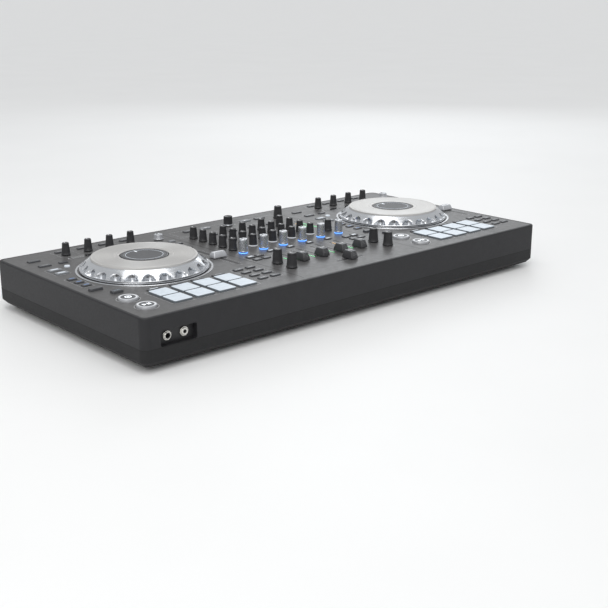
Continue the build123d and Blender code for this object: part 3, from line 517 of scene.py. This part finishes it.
def browse_knob(shape, cx, cy, skirt, base, top, height):
    """The push-turn encoder: a fine-ribbed black barrel with a silver ring and a dished top."""
    z = CAP_Z
    rows = [
        (skirt - 0.3, z, "knob"), (skirt, z + 0.3, "knob"), (skirt, z + 1.1, "knob"), (base, z + 1.6, "silver"),
        (base, z + 2.6, "silver"), (base - 0.2, z + 2.8, "knob"), (base, z + 3.1, "knob"),
        (base - 0.1, z + 6.0, "knob"), (top + 0.1, z + height - 2.2, "knob"), (top + 0.1, z + height - 1.8, "knob"),
        (top, z + height - 0.7, "knob"), (top - 0.7, z + height, "knob"), (top - 1.4, z + height - 0.1, "knob_top"),
        (top - 2.6, z + height - 0.9, "knob_top"), (1.5, z + height - 1.3, "knob_top"),
    ]
    turned(shape, cx, cy, rows, 120, 30, 0.4, (z + 3.3, z + height - 2.0))
    shaft(shape, cx, cy, z + 1.0)


BLACK_SIZE = (7.6, 6.8, 5.6, 20.0)
TALL_SIZE = (9.0, 8.2, 6.8, 23.0)
SILVER_SIZE = (7.4, 7.0, 6.6, 24.0)
TRIM_SIZE = (8.5, 8.0, 7.2, 9.0)
BROWSE_SIZE = (8.6, 8.2, 7.8, 17.0)


def knob_piece(name, x, y, maker, *size):
    shape = Shape()
    maker(shape, x, y, *size)
    return shape.build(f"cap_{name}", f"{name}_body", 32.0, (name,))


for channel, x in enumerate(CHANNEL_X, 1):
    for row, role in enumerate(("trim", "high", "mid", "low"), 1):
        ring = ("ring_light",) if role == "low" else ()
        knob_piece(f"{role}_knob_{channel}", x, ROW_Y[row], black_knob, *BLACK_SIZE, *ring)
    knob_piece(f"filter_knob_{channel}", x, ROW_Y[5], silver_knob, *SILVER_SIZE)
for side, deck_x in DECKS.items():
    for index, x in enumerate(FX_X, 1):
        knob_piece(f"fx_knob_{side}_{index}", deck_x + x, 162.0, black_knob, *BLACK_SIZE)
knob_piece("browse_knob", 0.0, 158.0, browse_knob, *BROWSE_SIZE)

fixed = Shape()
for y in ROW_Y[:5]:
    black_knob(fixed, -SIDE_X, y, *BLACK_SIZE)
black_knob(fixed, SIDE_X, ROW_Y[4], *BLACK_SIZE)
black_knob(fixed, SIDE_X, 144.0, *TALL_SIZE)
for x in (-SIDE_X, SIDE_X):
    silver_knob(fixed, x, ROW_Y[5], *SILVER_SIZE)
    for y in (-107.0, -141.0):
        black_knob(fixed, x, y, *TALL_SIZE)
for deck_x in DECKS.values():
    flat_knob(fixed, deck_x + 122.0, 152.0, *TRIM_SIZE)
fixed.build("set_knob_caps", "case", 32.0, ("set_knobs",))


# ------------------------------------------------------------------ faders
def fader_piece(name, cx, cy, cap, along_y, material, ribs, rim_highlight_material="key_grey"):
    """A finger cap: waisted sides, ribbed slopes, a raised middle with its line, on a steel lever; the top rim's
    lighter material is a painted highlight.
    """
    w, d, tw, td, h = cap
    shape = Shape()
    z = CAP_Z
    rows = [
        (w - 0.6, d - 0.6, 1.2, z), (w, d, 1.5, z + 0.4), (w, d, 1.5, z + 1.6),
        (w - (w - tw) * 0.25, d - (d - td) * 0.3, 1.4, z + h * 0.45),
        (w - (w - tw) * 0.7, d - (d - td) * 0.75, 1.3, z + h * 0.8),
        (tw, td, 1.2, z + h - 0.9),
    ]
    rim = [(tw, td, 1.2, z + h - 0.9), (tw - 0.1, td - 0.1, 1.2, z + h - 0.5), (tw - 0.5, td - 0.5, 1.0, z + h - 0.15),
           (tw - 1.2, td - 1.2, 0.7, z + h - 0.05), (tw - 2.0, td - 2.0, 0.5, z + h - 0.35)]
    block(shape, cx, cy, rows, material)
    # The rounded top rim wears a lighter material: a painted highlight on the cap's top edge.
    block(shape, cx, cy, rim, rim_highlight_material, material, False)
    line = z + h - 0.38
    bar(shape, cx - tw / 2 + 0.3, cy, cx + tw / 2 - 0.3, cy, 1.1, line, 0.38, "ink")
    for side in (-1, 1):
        for i in range(ribs):
            part = (i + 1) / (ribs + 1)
            y = cy + side * (td / 2 + (d - td) / 2 * part * 0.82)
            top = z + h * (1 - 0.62 * part) - 0.5
            bar(shape, cx - tw / 2 + 0.9, y, cx + tw / 2 - 0.9, y, 0.55, top - 0.9, 0.9, material)
    lw, ld = (1.2, 5.0) if along_y else (5.0, 1.2)
    block(shape, cx, cy, [(lw, ld, 0.1, PANEL - 12.0), (lw, ld, 0.1, z + 1.0)], "lever", steps=1)
    shape.build(f"cap_{name}", f"{name}_body", 32.0, (name,))


CHANNEL_CAP = (14.0, 24.0, 10.5, 15.0, 13.0)
for side, deck_x in DECKS.items():
    fader_piece(f"tempo_fader_{side}", deck_x + 124.0, -14.0, (26.0, 15.0, 22.0, 9.0, 9.0), True,
                "silver_paint", 2, "silver")
for channel, x in enumerate(CHANNEL_X, 1):
    fader_piece(f"channel_fader_{channel}", x, -117.0, CHANNEL_CAP, True, "fader", 3)
fader_piece("crossfader", 0.0, -160.0, CHANNEL_CAP, False, "fader", 3)


# ------------------------------------------------------------------ jog wheels
SCALLOPS, SCALLOP_PITCH_R, SCALLOP_R = 24, 98.8, 9.5


def scalloped(r, a, z):
    """The rim's radius where a finger scallop may cut it."""
    if z < PANEL + 5.6:
        return r
    sector = math.tau / SCALLOPS
    off = (a + sector / 2) % sector - sector / 2
    across = SCALLOP_PITCH_R * math.sin(off)
    if abs(across) >= SCALLOP_R:
        return r
    cut = SCALLOP_PITCH_R * math.cos(off) - math.sqrt(SCALLOP_R**2 - across**2)
    return min(r, cut)


for side, deck_x in DECKS.items():
    rim, top = f"rim_{side}", f"spun_{side}"
    shape = Shape()
    count = SCALLOPS * 14
    rows = [(18.1, 63.6), (24.0, 63.6), (24.0, PANEL + 11.0), (76.0, PANEL + 11.0), (91.0, PANEL + 1.5)]
    rows += [(99.6, PANEL + 1.5), (100.0, PANEL + 1.9), (100.0, PANEL + 5.0), (99.6, PANEL + 5.5)]
    rows += [(99.4, PANEL + 5.7), (97.0, PANEL + 8.0)]
    rows += [(97.0 - 13.0 * i / 12, PANEL + 8.0 + 10.3 * i / 12) for i in range(1, 13)]
    rows += [(83.6, PANEL + 18.6), (39.0, PANEL + 18.6), (39.0, PANEL + 15.0), (18.1, PANEL + 15.0)]
    rings = []
    for r, z in rows:
        points = []
        for i in range(count):
            a = math.tau * i / count
            edge = scalloped(r, a, z) if r > 80 else r
            points.append((deck_x + edge * math.cos(a), JOG_Y + edge * math.sin(a), z))
        rings.append(shape.ring(points))
    for index, (low, high) in enumerate(zip(rings, rings[1:] + rings[:1])):
        shape.bridge(low, high, "post" if index < 4 else rim)
    shape.build(f"rim_{side}", f"jog_{side}", 28.0, (f"jog_wheel_{side}",))

    shape = Shape()
    rows = [(38.2, 97.6), (82.0, 97.6), (82.0, 99.7), (81.75, 100.3), (81.0, 100.55), (80.4, 100.6)]
    rows += [(78.2, 100.6), (77.9, 100.35), (77.3, 100.35), (77.0, 100.6)]
    rows += [(46.0, 100.6), (45.7, 100.4), (45.1, 100.4), (44.8, 100.6), (39.2, 100.6), (38.5, 100.3), (38.2, 99.8)]
    rings = [shape.ring(circle(deck_x, JOG_Y, r, z, 160)) for r, z in rows]
    for low, high in zip(rings, rings[1:] + rings[:1]):
        shape.bridge(low, high, top)
    shape.build(f"platter_{side}", f"jog_{side}", 28.0, (f"jog_plate_{side}",))

displays = Shape()
for deck_x in DECKS.values():
    turned(displays, deck_x, JOG_Y, [
        (37.0, 94.8, "display_rim"), (37.0, 100.0, "display_rim"), (36.8, 100.5, "display_rim"),
        (36.2, 100.8, "display_rim"), (34.6, 100.8, "display_rim"), (34.3, 100.5, "display"), (30.0, 100.45, "display"),
    ], 96)
    hoop(displays, deck_x, JOG_Y, 28.6, 29.4, 100.45, 0.12, "key_white", 96)
    bar(displays, deck_x, JOG_Y + 21.0, deck_x, JOG_Y + 28.0, 1.6, 100.45, 0.14, "symbol")
    for i in range(60):
        a = math.tau * i / 60
        inner = 31.0 if i % 5 else 30.4
        c, s = math.cos(a), math.sin(a)
        bar(displays, deck_x + inner * c, JOG_Y + inner * s, deck_x + 32.6 * c, JOG_Y + 32.6 * s,
            0.35 if i % 5 else 0.7, 100.47, 0.08, "print")
displays.build("jog_display_faces", "case", 30.0, ("jog_displays",))

surrounds = Shape()
for side, deck_x in DECKS.items():
    hoop(surrounds, deck_x, JOG_Y, 102.5, 106.0, PANEL, 1.2, f"ring_{side}", 160, 0.4)
surrounds.build("jog_ring_trims", "case", 30.0, ("jog_surrounds",))

# ------------------------------------------------------------------ pads
PAD_TOP = PANEL + 3.0
for side, deck_x in DECKS.items():
    shape = Shape()
    for row, y in enumerate(PAD_Y):
        for column, x in enumerate(PAD_X):
            cx = deck_x + x
            # The pad sides and flange wear the darker copy of the pad silicone: painted shade.
            base = [(32.9, 33.9, 2.0, 74.0), (32.9, 33.9, 2.0, 76.0)]
            block(shape, cx, y, base, "pad_side")
            rows = [
                (30.5, 31.5, 2.0, 76.0, "pad_side"), (30.5, 31.5, 2.0, PAD_TOP - 1.0, "pad_side"),
                (30.3, 31.3, 2.0, PAD_TOP - 0.6, "pad_side"), (29.7, 30.7, 1.9, PAD_TOP - 0.2, "pad"),
                (28.9, 29.9, 1.8, PAD_TOP - 0.08, "pad"), (24.0, 25.0, 1.6, PAD_TOP - 0.02, "pad"),
                (12.0, 12.5, 1.5, PAD_TOP, "pad"),
            ]
            rings = [shape.ring(rounded(cx, y, w, d, r, z)) for w, d, r, z, _ in rows]
            for low, high, values in zip(rings, rings[1:], rows[1:]):
                shape.bridge(low, high, values[4])
            shape.cap(rings[-1], "pad")
    shape.build(f"pads_{side}", f"performance_pads_{side}_body", 40.0,
                (f"performance_pads_{side}",))


# ------------------------------------------------------------------ transport keys
def stem(shape, x, y, w, d, corner, material="key"):
    """The hidden part of a key: its flange and its plunger."""
    block(shape, x, y, [(w + 2.4, d + 2.4, corner, 74.0), (w + 2.4, d + 2.4, corner, 76.0)], material, steps=3)
    turned(shape, x, y, [(1.5, 62.8, material), (1.5, 74.0, material)], 12)


KEY_TOP = PANEL + 3.6
for side, deck_x in DECKS.items():
    shape = Shape()
    for y in (-116.0, -162.0):
        x = deck_x - 111.0
        turned(shape, x, y, [
            (16.9, 74.0, "key"), (16.9, 76.0, "key"), (14.5, 76.0, "key"), (14.5, KEY_TOP - 0.6, "silver_paint"),
            (14.3, KEY_TOP - 0.2, "silver_paint"), (13.8, KEY_TOP, "silver_paint"), (13.0, KEY_TOP, "silver_paint"),
            (12.7, KEY_TOP - 0.25, "ring_light"), (10.9, KEY_TOP - 0.25, "ring_light"),
            (10.6, KEY_TOP - 0.1, "key"), (9.6, KEY_TOP - 0.02, "key"), (6.0, KEY_TOP - 0.25, "key"),
        ], 72)
        turned(shape, x, y, [(1.5, 62.8, "key"), (1.5, 74.0, "key")], 12)
        z = KEY_TOP - 0.2
        if y < -140.0:
            prism(shape, [(x - 6.0, y - 3.6), (x - 0.4, y), (x - 6.0, y + 3.6)], z, 0.24, "symbol")
            for offset in (1.4, 4.4):
                prism(shape, [(x + offset, y - 3.4), (x + offset + 1.6, y - 3.4), (x + offset + 1.6, y + 3.4),
                              (x + offset, y + 3.4)], z, 0.24, "symbol")
        else:
            hoop(shape, x, y, 3.6, 5.0, z, 0.24, "symbol", 48)
            turned(shape, x, y, [(1.5, z, "symbol"), (1.5, z + 0.24, "symbol")], 24)
    for x, y, w, d, top in ((-105.0, -77.0, 17.0, 10.0, "key_white"), (-121.0, -46.0, 20.0, 9.0, None)):
        stem(shape, deck_x + x, y, w, d, 1.2)
        key_cap(shape, deck_x + x, y, w, d, 76.0, KEY_TOP, 1.4, "key", 0.8, None)
        if top:
            block(shape, deck_x + x, y, [(w - 5, d - 5, 1.2, KEY_TOP - 0.02), (w - 5, d - 5, 1.2, KEY_TOP + 0.0)],
                  top)
    shape.build(f"transport_{side}", f"transport_buttons_{side}_body", 32.0,
                (f"transport_buttons_{side}",))

# ------------------------------------------------------------------ small keys
deck_keys = [(x, 184.0, 16.0, 7.0, "key", "bar") for x in FX_X]
deck_keys += [(-111.0, 158.0, 20.0, 9.0, "key", None), (-111.0, 122.0, 20.0, 9.0, "key", "bar")]
deck_keys += [(-79.0, 122.0, 14.0, 8.0, "key", None), (-86.0, 97.0, 9.0, 9.0, "key_white", None)]
deck_keys += [(-113.0, 88.0, 20.0, 11.0, "key_grey", "lit"), (-113.0, 66.0, 20.0, 11.0, "key_grey", "lit")]
deck_keys += [(-119.0, y, 14.0, 9.0, "key", "blue") for y in (25.0, 4.0, -17.0)]
deck_keys += [(130.0, 124.0, 12.0, 7.0, "key_grey", None), (130.0, 102.0, 12.0, 7.0, "key", "bar")]
deck_keys += [(124.0, 66.0, 14.0, 6.0, "key", "bar")]
deck_keys += [(x, -100.5, 22.0, 5.5, "key", "lit" if x < -50 else "bar") for x in PAD_X]
deck_keys += [(x, y, 16.0, 8.0, "key", "bar") for x in (98.0, 122.0) for y in (-98.0, -118.0, -138.0, -158.0)]
mixer_keys = [(x, 166.0, 22.0, 9.0, "key_grey" if abs(x) < 50 else "key", "load" if abs(x) < 50 else "bar") for x in (-82.0, -46.0, 46.0, 80.0)]
mixer_keys += [(x, ROW_Y[0], 15.0, 7.0, "key", "bar") for x in CHANNEL_X]
mixer_keys += [(x, -39.5, 13.0, 8.0, "key", "lit") for x in CHANNEL_X]
mixer_keys += [
    (side * SIDE_X + dx, y, 14.0, 10.0, "key", "lit" if dx * side > 0 and y > -60 else "bar")
    for side in (-1, 1)
    for dx in (-9.0, 9.0)
    for y in (-50.0, -68.0)
]
keys = mixer_keys + [(deck_x + x, *rest) for deck_x in DECKS.values() for x, *rest in deck_keys]

shape = Shape()
LOW_TOP = PANEL + 2.0
for x, y, w, d, material, mark in keys:
    round_key = w == d
    corner = w / 2 - 0.02 if round_key else 1.2
    stem(shape, x, y, w, d, corner)
    key_cap(shape, x, y, w, d, 76.0, LOW_TOP, corner, material, 0.7)
    if mark == "bar":
        bar(shape, x - w * 0.27, y, x + w * 0.27, y, 0.9, LOW_TOP - 0.02, 0.07, "print")
    elif mark == "blue":
        bar(shape, x - w * 0.3, y, x + w * 0.3, y, 2.2, LOW_TOP - 0.02, 0.07, "key_blue")
    elif mark == "load":
        sign = 1 if x > 0 else -1
        points = [(x - sign * 2.6, y - 2.4), (x + sign * 2.6, y), (x - sign * 2.6, y + 2.4)]
        prism(shape, points if sign > 0 else points[::-1], LOW_TOP - 0.02, 0.07, "ink")
    elif mark == "lit":
        bar(shape, x - w * 0.32, y, x + w * 0.32, y, d * 0.42, LOW_TOP - 0.02, 0.07, "key_white")
shape.build("key_caps", "small_keys_body", 32.0, ("small_keys",))

# ------------------------------------------------------------------ windows, with the lights under them
shape = Shape()
for deck_x in DECKS.values():
    block(shape, deck_x, 138.0, [(112.0, 11.0, 0.2, 76.0), (112.0, 11.0, 0.2, PANEL + 0.05),
                                 (111.7, 10.7, 0.2, PANEL + 0.2)], "window", steps=1)
    for i in range(25):
        x = deck_x - 52.8 + 4.4 * i
        bar(shape, x, 135.6, x, 136.8, 0.4, PANEL + 0.18, 0.05, "print")
meters = [(x - 14.0, -87.0, 4.0, 58.0, 8 + 2 * index) for index, x in enumerate(CHANNEL_X)]
meters += [(SIDE_X + dx, 72.0, 5.0, 62.0, 12) for dx in (-6.0, 6.0)]
for x, y, w, d, lit in meters:
    block(shape, x, y, [(w, d, 0.2, 76.0), (w, d, 0.2, PANEL + 0.05), (w - 0.3, d - 0.3, 0.2, PANEL + 0.2)],
          "window", steps=1)
    count = 16
    for i in range(count):
        sy = y - d / 2 + (i + 0.5) * d / count
        name = "light_off" if i >= lit else ("green_light" if i < 11 else "amber_light")
        bar(shape, x - w * 0.3, sy, x + w * 0.3, sy, d / count * 0.55, PANEL + 0.19, 0.04, name)
shape.build("window_strips", "case", 30.0, ("panel_windows",))

# ------------------------------------------------------------------ printing on the panel
shape = Shape()
INK_Z = PANEL + 0.01
turns = [angle for angle in range(-150, 151, 30)]
for x in CHANNEL_X + [-SIDE_X]:
    for y in ROW_Y[1:5] if x != -SIDE_X else ROW_Y[:5]:
        arc_lines(shape, x, y, 9.2, 10.4, turns, 0.35, INK_Z, "print")
for x in CHANNEL_X + [-SIDE_X, SIDE_X]:
    arc_lines(shape, x, ROW_Y[5], 9.0, 10.2, turns, 0.35, INK_Z, "print")
arc_lines(shape, SIDE_X, ROW_Y[4], 9.2, 10.4, turns, 0.35, INK_Z, "print")
for x, y in [(SIDE_X, 144.0)] + [(x, y) for x in (-SIDE_X, SIDE_X) for y in (-107.0, -141.0)]:
    arc_lines(shape, x, y, 10.6, 12.2, turns, 0.4, INK_Z, "print")
for deck_x in DECKS.values():
    for x in FX_X:
        arc_lines(shape, deck_x + x, 162.0, 9.2, 10.4, turns, 0.35, INK_Z, "print")
    arc_lines(shape, deck_x + 122.0, 152.0, 10.0, 11.6, turns, 0.4, INK_Z, "print")
    tempo_x = deck_x + 124.0
    bar(shape, tempo_x, -68.5, tempo_x, 40.5, 5.2, PANEL + 0.005, 0.03, "print_dark")
    for i in range(21):
        y = -64.0 + 5.0 * i
        length = 4.0 if i % 5 == 0 else 2.4
        for sign in (-1, 1):
            start = tempo_x + sign * 5.0
            bar(shape, start, y, start + sign * length, y, 0.4, INK_Z, 0.06, "print")
    # play and cue surrounds, pad bank frame and effect bank frame
    for y in (-116.0, -162.0):
        hoop(shape, deck_x - 111.0, y, 16.6, 17.2, INK_Z, 0.06, "print", 96)
    outline(shape, deck_x, -142.0, 156.0, 74.0, 4.0, 0.4, INK_Z, "print")
    outline(shape, deck_x + 110.0, -128.0, 46.0, 76.0, 4.0, 0.35, INK_Z, "print")
    outline(shape, deck_x + 10.5, 170.0, 150.0, 44.0, 4.0, 0.35, INK_Z, "print")
    outline(shape, deck_x - 119.0, 4.0, 20.0, 58.0, 3.0, 0.35, INK_Z, "print")
    outline(shape, deck_x - 113.0, 77.0, 27.0, 38.0, 3.0, 0.35, INK_Z, "print")
    for x in (-51.0, -10.0, 31.0):
        bar(shape, deck_x + x + 20.5, 153.0, deck_x + x + 20.5, 188.0, 0.3, INK_Z, 0.06, "print")
    bar(shape, tempo_x - 1.6, 45.0, tempo_x + 1.6, 45.0, 0.5, INK_Z, 0.06, "print")
    bar(shape, tempo_x - 1.6, -74.0, tempo_x + 1.6, -74.0, 0.5, INK_Z, 0.06, "print")
    bar(shape, tempo_x, -75.6, tempo_x, -72.4, 0.5, INK_Z, 0.06, "print")
    prism(shape, [(deck_x - 58.6, 142.4), (deck_x - 61.4, 138.0), (deck_x - 58.6, 133.6)], INK_Z, 0.06, "print")
    prism(shape, [(deck_x + 61.4, 138.0), (deck_x + 58.6, 142.4), (deck_x + 58.6, 133.6)], INK_Z, 0.06, "print")
for x in CHANNEL_X:
    bar(shape, x, -120.5, x, -53.5, 4.4, PANEL + 0.005, 0.03, "print_dark")
    for i in range(11):
        y = -117.0 + 6.0 * i
        length = 3.0 if i % 5 == 0 else 1.9
        bar(shape, x + 4.6, y, x + 4.6 + length, y, 0.4, INK_Z, 0.06, "print")
        bar(shape, x - 4.6 - length, y, x - 4.6, y, 0.4, INK_Z, 0.06, "print")
bar(shape, -28.5, -160.0, 28.5, -160.0, 4.4, PANEL + 0.005, 0.03, "print_dark")
for i in range(11):
    x = -25.0 + 5.0 * i
    length = 3.0 if i % 5 == 0 else 1.9
    bar(shape, x, -155.6, x, -155.6 + length, 0.4, INK_Z, 0.06, "print")
    bar(shape, x, -164.4 - length, x, -164.4, 0.4, INK_Z, 0.06, "print")
for x in (-132.0, 132.0):
    bar(shape, x, -196.0, x, 196.0, 1.2, PANEL + 0.005, 0.04, "print_dark")
for x in (-43.0, 0.0, 43.0):
    bar(shape, x, -130.0, x, 106.0, 0.3, INK_Z, 0.05, "print")
bar(shape, -125.0, 132.5, 90.0, 132.5, 0.4, INK_Z, 0.05, "print")
for sign in (-1, 1):
    outline(shape, sign * SIDE_X, -59.0, 38.0, 34.0, 3.0, 0.35, INK_Z, "print")
    prism(shape, [(sign * 17.0, 158.0 + sign * 2.2), (sign * 13.4, 158.0), (sign * 17.0, 158.0 - sign * 2.2)][::-1],
          INK_Z, 0.06, "print")
outline(shape, SIDE_X, 72.0, 24.0, 68.0, 3.0, 0.35, INK_Z, "print")
outline(shape, 0.0, 158.0, 236.0, 40.0, 4.0, 0.35, INK_Z, "print")
for i in range(9):
    y = 44.0 + 7.0 * i
    bar(shape, SIDE_X - 1.6, y, SIDE_X + 1.6, y, 0.35, INK_Z, 0.06, "print")
shape.build("panel_marks", "case", 30.0)


def numeral(text, x, y, size, z, name):
    """A small printed numeral, cut to a thin mesh."""
    curve = bpy.data.curves.new(name, "FONT")
    curve.body = text
    curve.size = size * MM
    curve.align_x = "CENTER"
    curve.align_y = "CENTER"
    curve.extrude = 0.00003
    temporary = bpy.data.objects.new(name + "_curve", curve)
    bpy.context.scene.collection.objects.link(temporary)
    bpy.context.view_layer.update()
    mesh = bpy.data.meshes.new_from_object(temporary.evaluated_get(bpy.context.evaluated_depsgraph_get()))
    bpy.data.objects.remove(temporary)
    mesh.transform(Matrix.Translation((x * MM, y * MM, (z + 0.04) * MM)))
    mesh.materials.clear()
    mesh.materials.append(mats["print"])
    piece = bpy.data.objects.new(name, mesh)
    bpy.context.scene.collection.objects.link(piece)
    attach(piece, "case")
    return piece


for number, x in enumerate(CHANNEL_X, 1):
    numeral(str(number), x, 126.0, 7.0, PANEL, f"channel_numeral_{number}")

# ------------------------------------------------------------------ sockets
REAR_Y, FRONT_Y, SOCKET_Z = 199.5, -199.5, 46.0
RCA_X = [-75.0, -40.0, -5.0, 30.0, 85.0]


def lying(shape, cx, cz, face_y, sign, profile, count=48, closed=True):
    """A lathe form whose axis runs out of a socket plate; profile rows are (radius, proud, material)."""
    rings = []
    for r, out, material in profile:
        points = []
        for i in range(count):
            a = math.tau * i / count * sign
            points.append((cx - r * math.cos(a), face_y + sign * out, cz + r * math.sin(a)))
        rings.append(shape.ring(points))
    for low, high, (r, out, material) in zip(rings, rings[1:], profile[1:]):
        shape.bridge(low, high, material)
    if closed:
        shape.cap(rings[0], profile[0][2], flip=True)
    shape.cap(rings[-1], profile[-1][2])


def box_behind(shape, cx, cz, w, h, y0, y1, material):
    """A plain moulded body behind a socket plate, with softened corners."""
    low, high = min(y0, y1), max(y0, y1)
    outline = [(x, z) for x, z, _ in rounded(cx, cz, w, h, 1.0, 0.0, 3)]
    front = shape.ring([(x, low, z) for x, z in outline])
    back = shape.ring([(x, high, z) for x, z in outline])
    shape.bridge(back, front, material)
    shape.cap(front, material)
    shape.cap(back, material, flip=True)


def jack(shape, cx, face_y, sign, bore):
    box_behind(shape, cx, SOCKET_Z, 14.0, 14.0, face_y - sign * 2.0, face_y - sign * 26.0, "socket_black")
    # The bore's deep walls are near-black: the socket's own dark inside, darkened further as painted shade.
    rows = [(5.5, -2.0, "nickel"), (5.5, 0.02, "nickel"), (6.9, 0.02, "nickel"), (6.9, 1.7, "nickel"),
            (6.6, 2.0, "nickel"), (5.5, 2.0, "nickel"), (5.5, 3.2, "nickel"), (5.2, 3.5, "nickel"),
            (bore + 1.0, 3.5, "nickel"), (bore + 0.7, 3.2, "socket_black"), (bore, 3.1, "socket_black"),
            (bore, -19.0, "gap"), (bore * 0.4, -20.0, "gap")]
    lying(shape, cx, SOCKET_Z, face_y, sign, rows, 48)


shape = Shape()
for x in (-210.0, 150.0, 178.0):
    jack(shape, x, REAR_Y, 1, 3.25)
jack(shape, -384.0, FRONT_Y, -1, 3.25)
jack(shape, -356.0, FRONT_Y, -1, 1.8)
for x in RCA_X:
    box_behind(shape, x, SOCKET_Z, 12.0, 25.0, REAR_Y - 2.0, REAR_Y - 16.0, "socket_black")
    for rise, insert in ((6.5, "phono_white"), (-6.5, "phono_red")):
        # Each phono pin hole is near-black: painted shade over the socket's dark inside.
        lying(shape, x, SOCKET_Z + rise, REAR_Y, 1, [
            (4.15, -2.0, "nickel"), (4.15, 7.4, "nickel"), (3.9, 7.9, "nickel"), (3.5, 8.0, "nickel"),
            (3.4, 7.8, insert), (1.9, 7.8, insert), (1.7, 7.5, "gap"), (1.6, 3.0, "gap"), (0.4, 2.8, "gap"),
        ], 40)
        lying(shape, x, SOCKET_Z + rise, REAR_Y, 1, [
            (5.9, 0.0, insert), (5.9, 0.7, insert), (5.5, 1.0, insert), (4.16, 1.0, insert),
        ], 40)
for x in (232.0, 262.0):
    box_behind(shape, x, SOCKET_Z, 12.0, 10.8, REAR_Y - 0.5, REAR_Y - 15.0, "nickel")
    outer = [(px, pz) for px, pz, _ in rounded(x, SOCKET_Z, 12.0, 10.8, 0.5, 0.0, 3)]
    mouth = [(px, pz) for px, pz, _ in rounded(x, SOCKET_Z, 8.5, 7.8, 1.0, 0.0, 3)]
    rings = [
        shape.ring([(px, REAR_Y - 0.5, pz) for px, pz in outer]), shape.ring([(px, REAR_Y + 1.0, pz) for px, pz in outer]),
        shape.ring([(px, REAR_Y + 1.0, pz) for px, pz in mouth]), shape.ring([(px, REAR_Y - 0.4, pz) for px, pz in mouth]),
    ]
    # The mouth's inside is near-black: painted shade over the socket's dark inside.
    for low, high, name in zip(rings, rings[1:], ("nickel", "nickel", "gap")):
        shape.bridge(high, low, name)
    shape.cap(rings[-1], "gap", flip=True)
    box_behind(shape, x, SOCKET_Z, 5.6, 3.2, REAR_Y - 0.4, REAR_Y + 0.6, "phono_white")
lying(shape, -115.0, SOCKET_Z, REAR_Y, 1, [
    (3.0, -2.0, "nickel"), (3.0, 1.0, "nickel"), (5.0, 1.0, "nickel"), (5.0, 5.6, "nickel"), (4.6, 6.1, "nickel"),
    (1.2, 6.4, "nickel"),
], 32)
shape.build("socket_set", "case", 32.0, ("sockets",))

# ------------------------------------------------------------------ the joint between tray and housing: a thin near-black band, painted shade in the joint
shape = Shape()
shade_band_rows = [rounded(0.0, 0.0, 854.0 + 2 * grow, 419.0 + 2 * grow, 12.0 + grow, z, 10)
        for grow, z in ((-0.5, 33.6), (0.06, 33.6), (0.06, 34.4), (-0.5, 34.4))]
rings = [shape.ring(points) for points in shade_band_rows]
for low, high in zip(rings, rings[1:]):
    shape.bridge(low, high, "gap")
shape.build("case_seam_shade_band", "case", 30.0)

# ------------------------------------------------------------------ CAD nodes that show as they are
wears = {
    "bottom_tray": "tray", "upper_housing": "case", "top_panel": "panel", "case_screws": "screw",
    "rubber_feet": "rubber", "circuit_boards": "board", "rotary_pots": "pot", "slide_pots": "pot",
    "jog_posts": "post", "socket_plates": "socket_panel",
}
for name, material in wears.items():
    mesh = nodes[name].data
    mesh.materials.clear()
    mesh.materials.append(mats[material])

# ------------------------------------------------------------------ stage
floor_mat = surface("studio_floor", (0.86, 0.86, 0.855), 0.55, 0.0, 0.01, 3.0, 0.02, 400.0, 0.02)
floor_mesh = bpy.data.meshes.new("floor")
floor_mesh.from_pydata([(-90, -90, 0), (90, -90, 0), (90, 90, 0), (-90, 90, 0)], [], [(0, 1, 2, 3)])
floor_mesh.materials.append(floor_mat)
floor = bpy.data.objects.new("floor", floor_mesh)
bpy.context.scene.collection.objects.link(floor)

world = bpy.data.worlds.new("studio")
bpy.context.scene.world = world
world.use_nodes = True
world.node_tree.nodes["Background"].inputs["Color"].default_value = (0.97, 0.985, 1.0, 1.0)
world.node_tree.nodes["Background"].inputs["Strength"].default_value = 0.62


def softbox(name, place, aim, size, power, colour=(1.0, 1.0, 1.0)):
    light = bpy.data.lights.new(name, "AREA")
    light.shape = "RECTANGLE"
    light.size, light.size_y = size
    light.energy = power
    light.color = colour
    lamp = bpy.data.objects.new(name, light)
    lamp.location = place
    lamp.rotation_euler = (Vector(aim) - Vector(place)).to_track_quat("-Z", "Y").to_euler()
    bpy.context.scene.collection.objects.link(lamp)


softbox("overhead", (-0.2, -0.1, 2.0), (0.0, 0.0, 0.0), (1.6, 1.0), 9.0)
softbox("front_left", (-2.0, -1.2, 1.1), (0.0, 0.0, 0.05), (1.2, 0.8), 9.0, (1.0, 0.985, 0.96))
softbox("back_right", (1.9, 1.6, 1.2), (0.0, 0.0, 0.1), (1.2, 0.8), 7.0, (0.93, 0.97, 1.0))
sun_data = bpy.data.lights.new("sky_window", "SUN")
sun_data.energy = 0.9
sun_data.angle = math.radians(50.0)
sun = bpy.data.objects.new("sky_window", sun_data)
sun.rotation_euler = (math.radians(28.0), math.radians(-22.0), 0.0)
bpy.context.scene.collection.objects.link(sun)

EYE = Vector((-1.125, -1.303, 0.494))
AIM = Vector((0.004, -0.045, -0.025))
camera_data = bpy.data.cameras.new("camera")
camera_data.lens = 61.0
camera_data.sensor_width = 36.0
camera_data.clip_end = 60.0
camera = bpy.data.objects.new("camera", camera_data)
camera.location = EYE
camera.rotation_euler = (AIM - EYE).to_track_quat("-Z", "Y").to_euler()
bpy.context.scene.collection.objects.link(camera)
bpy.context.scene.camera = camera
bpy.context.scene.view_settings.view_transform = "Standard"
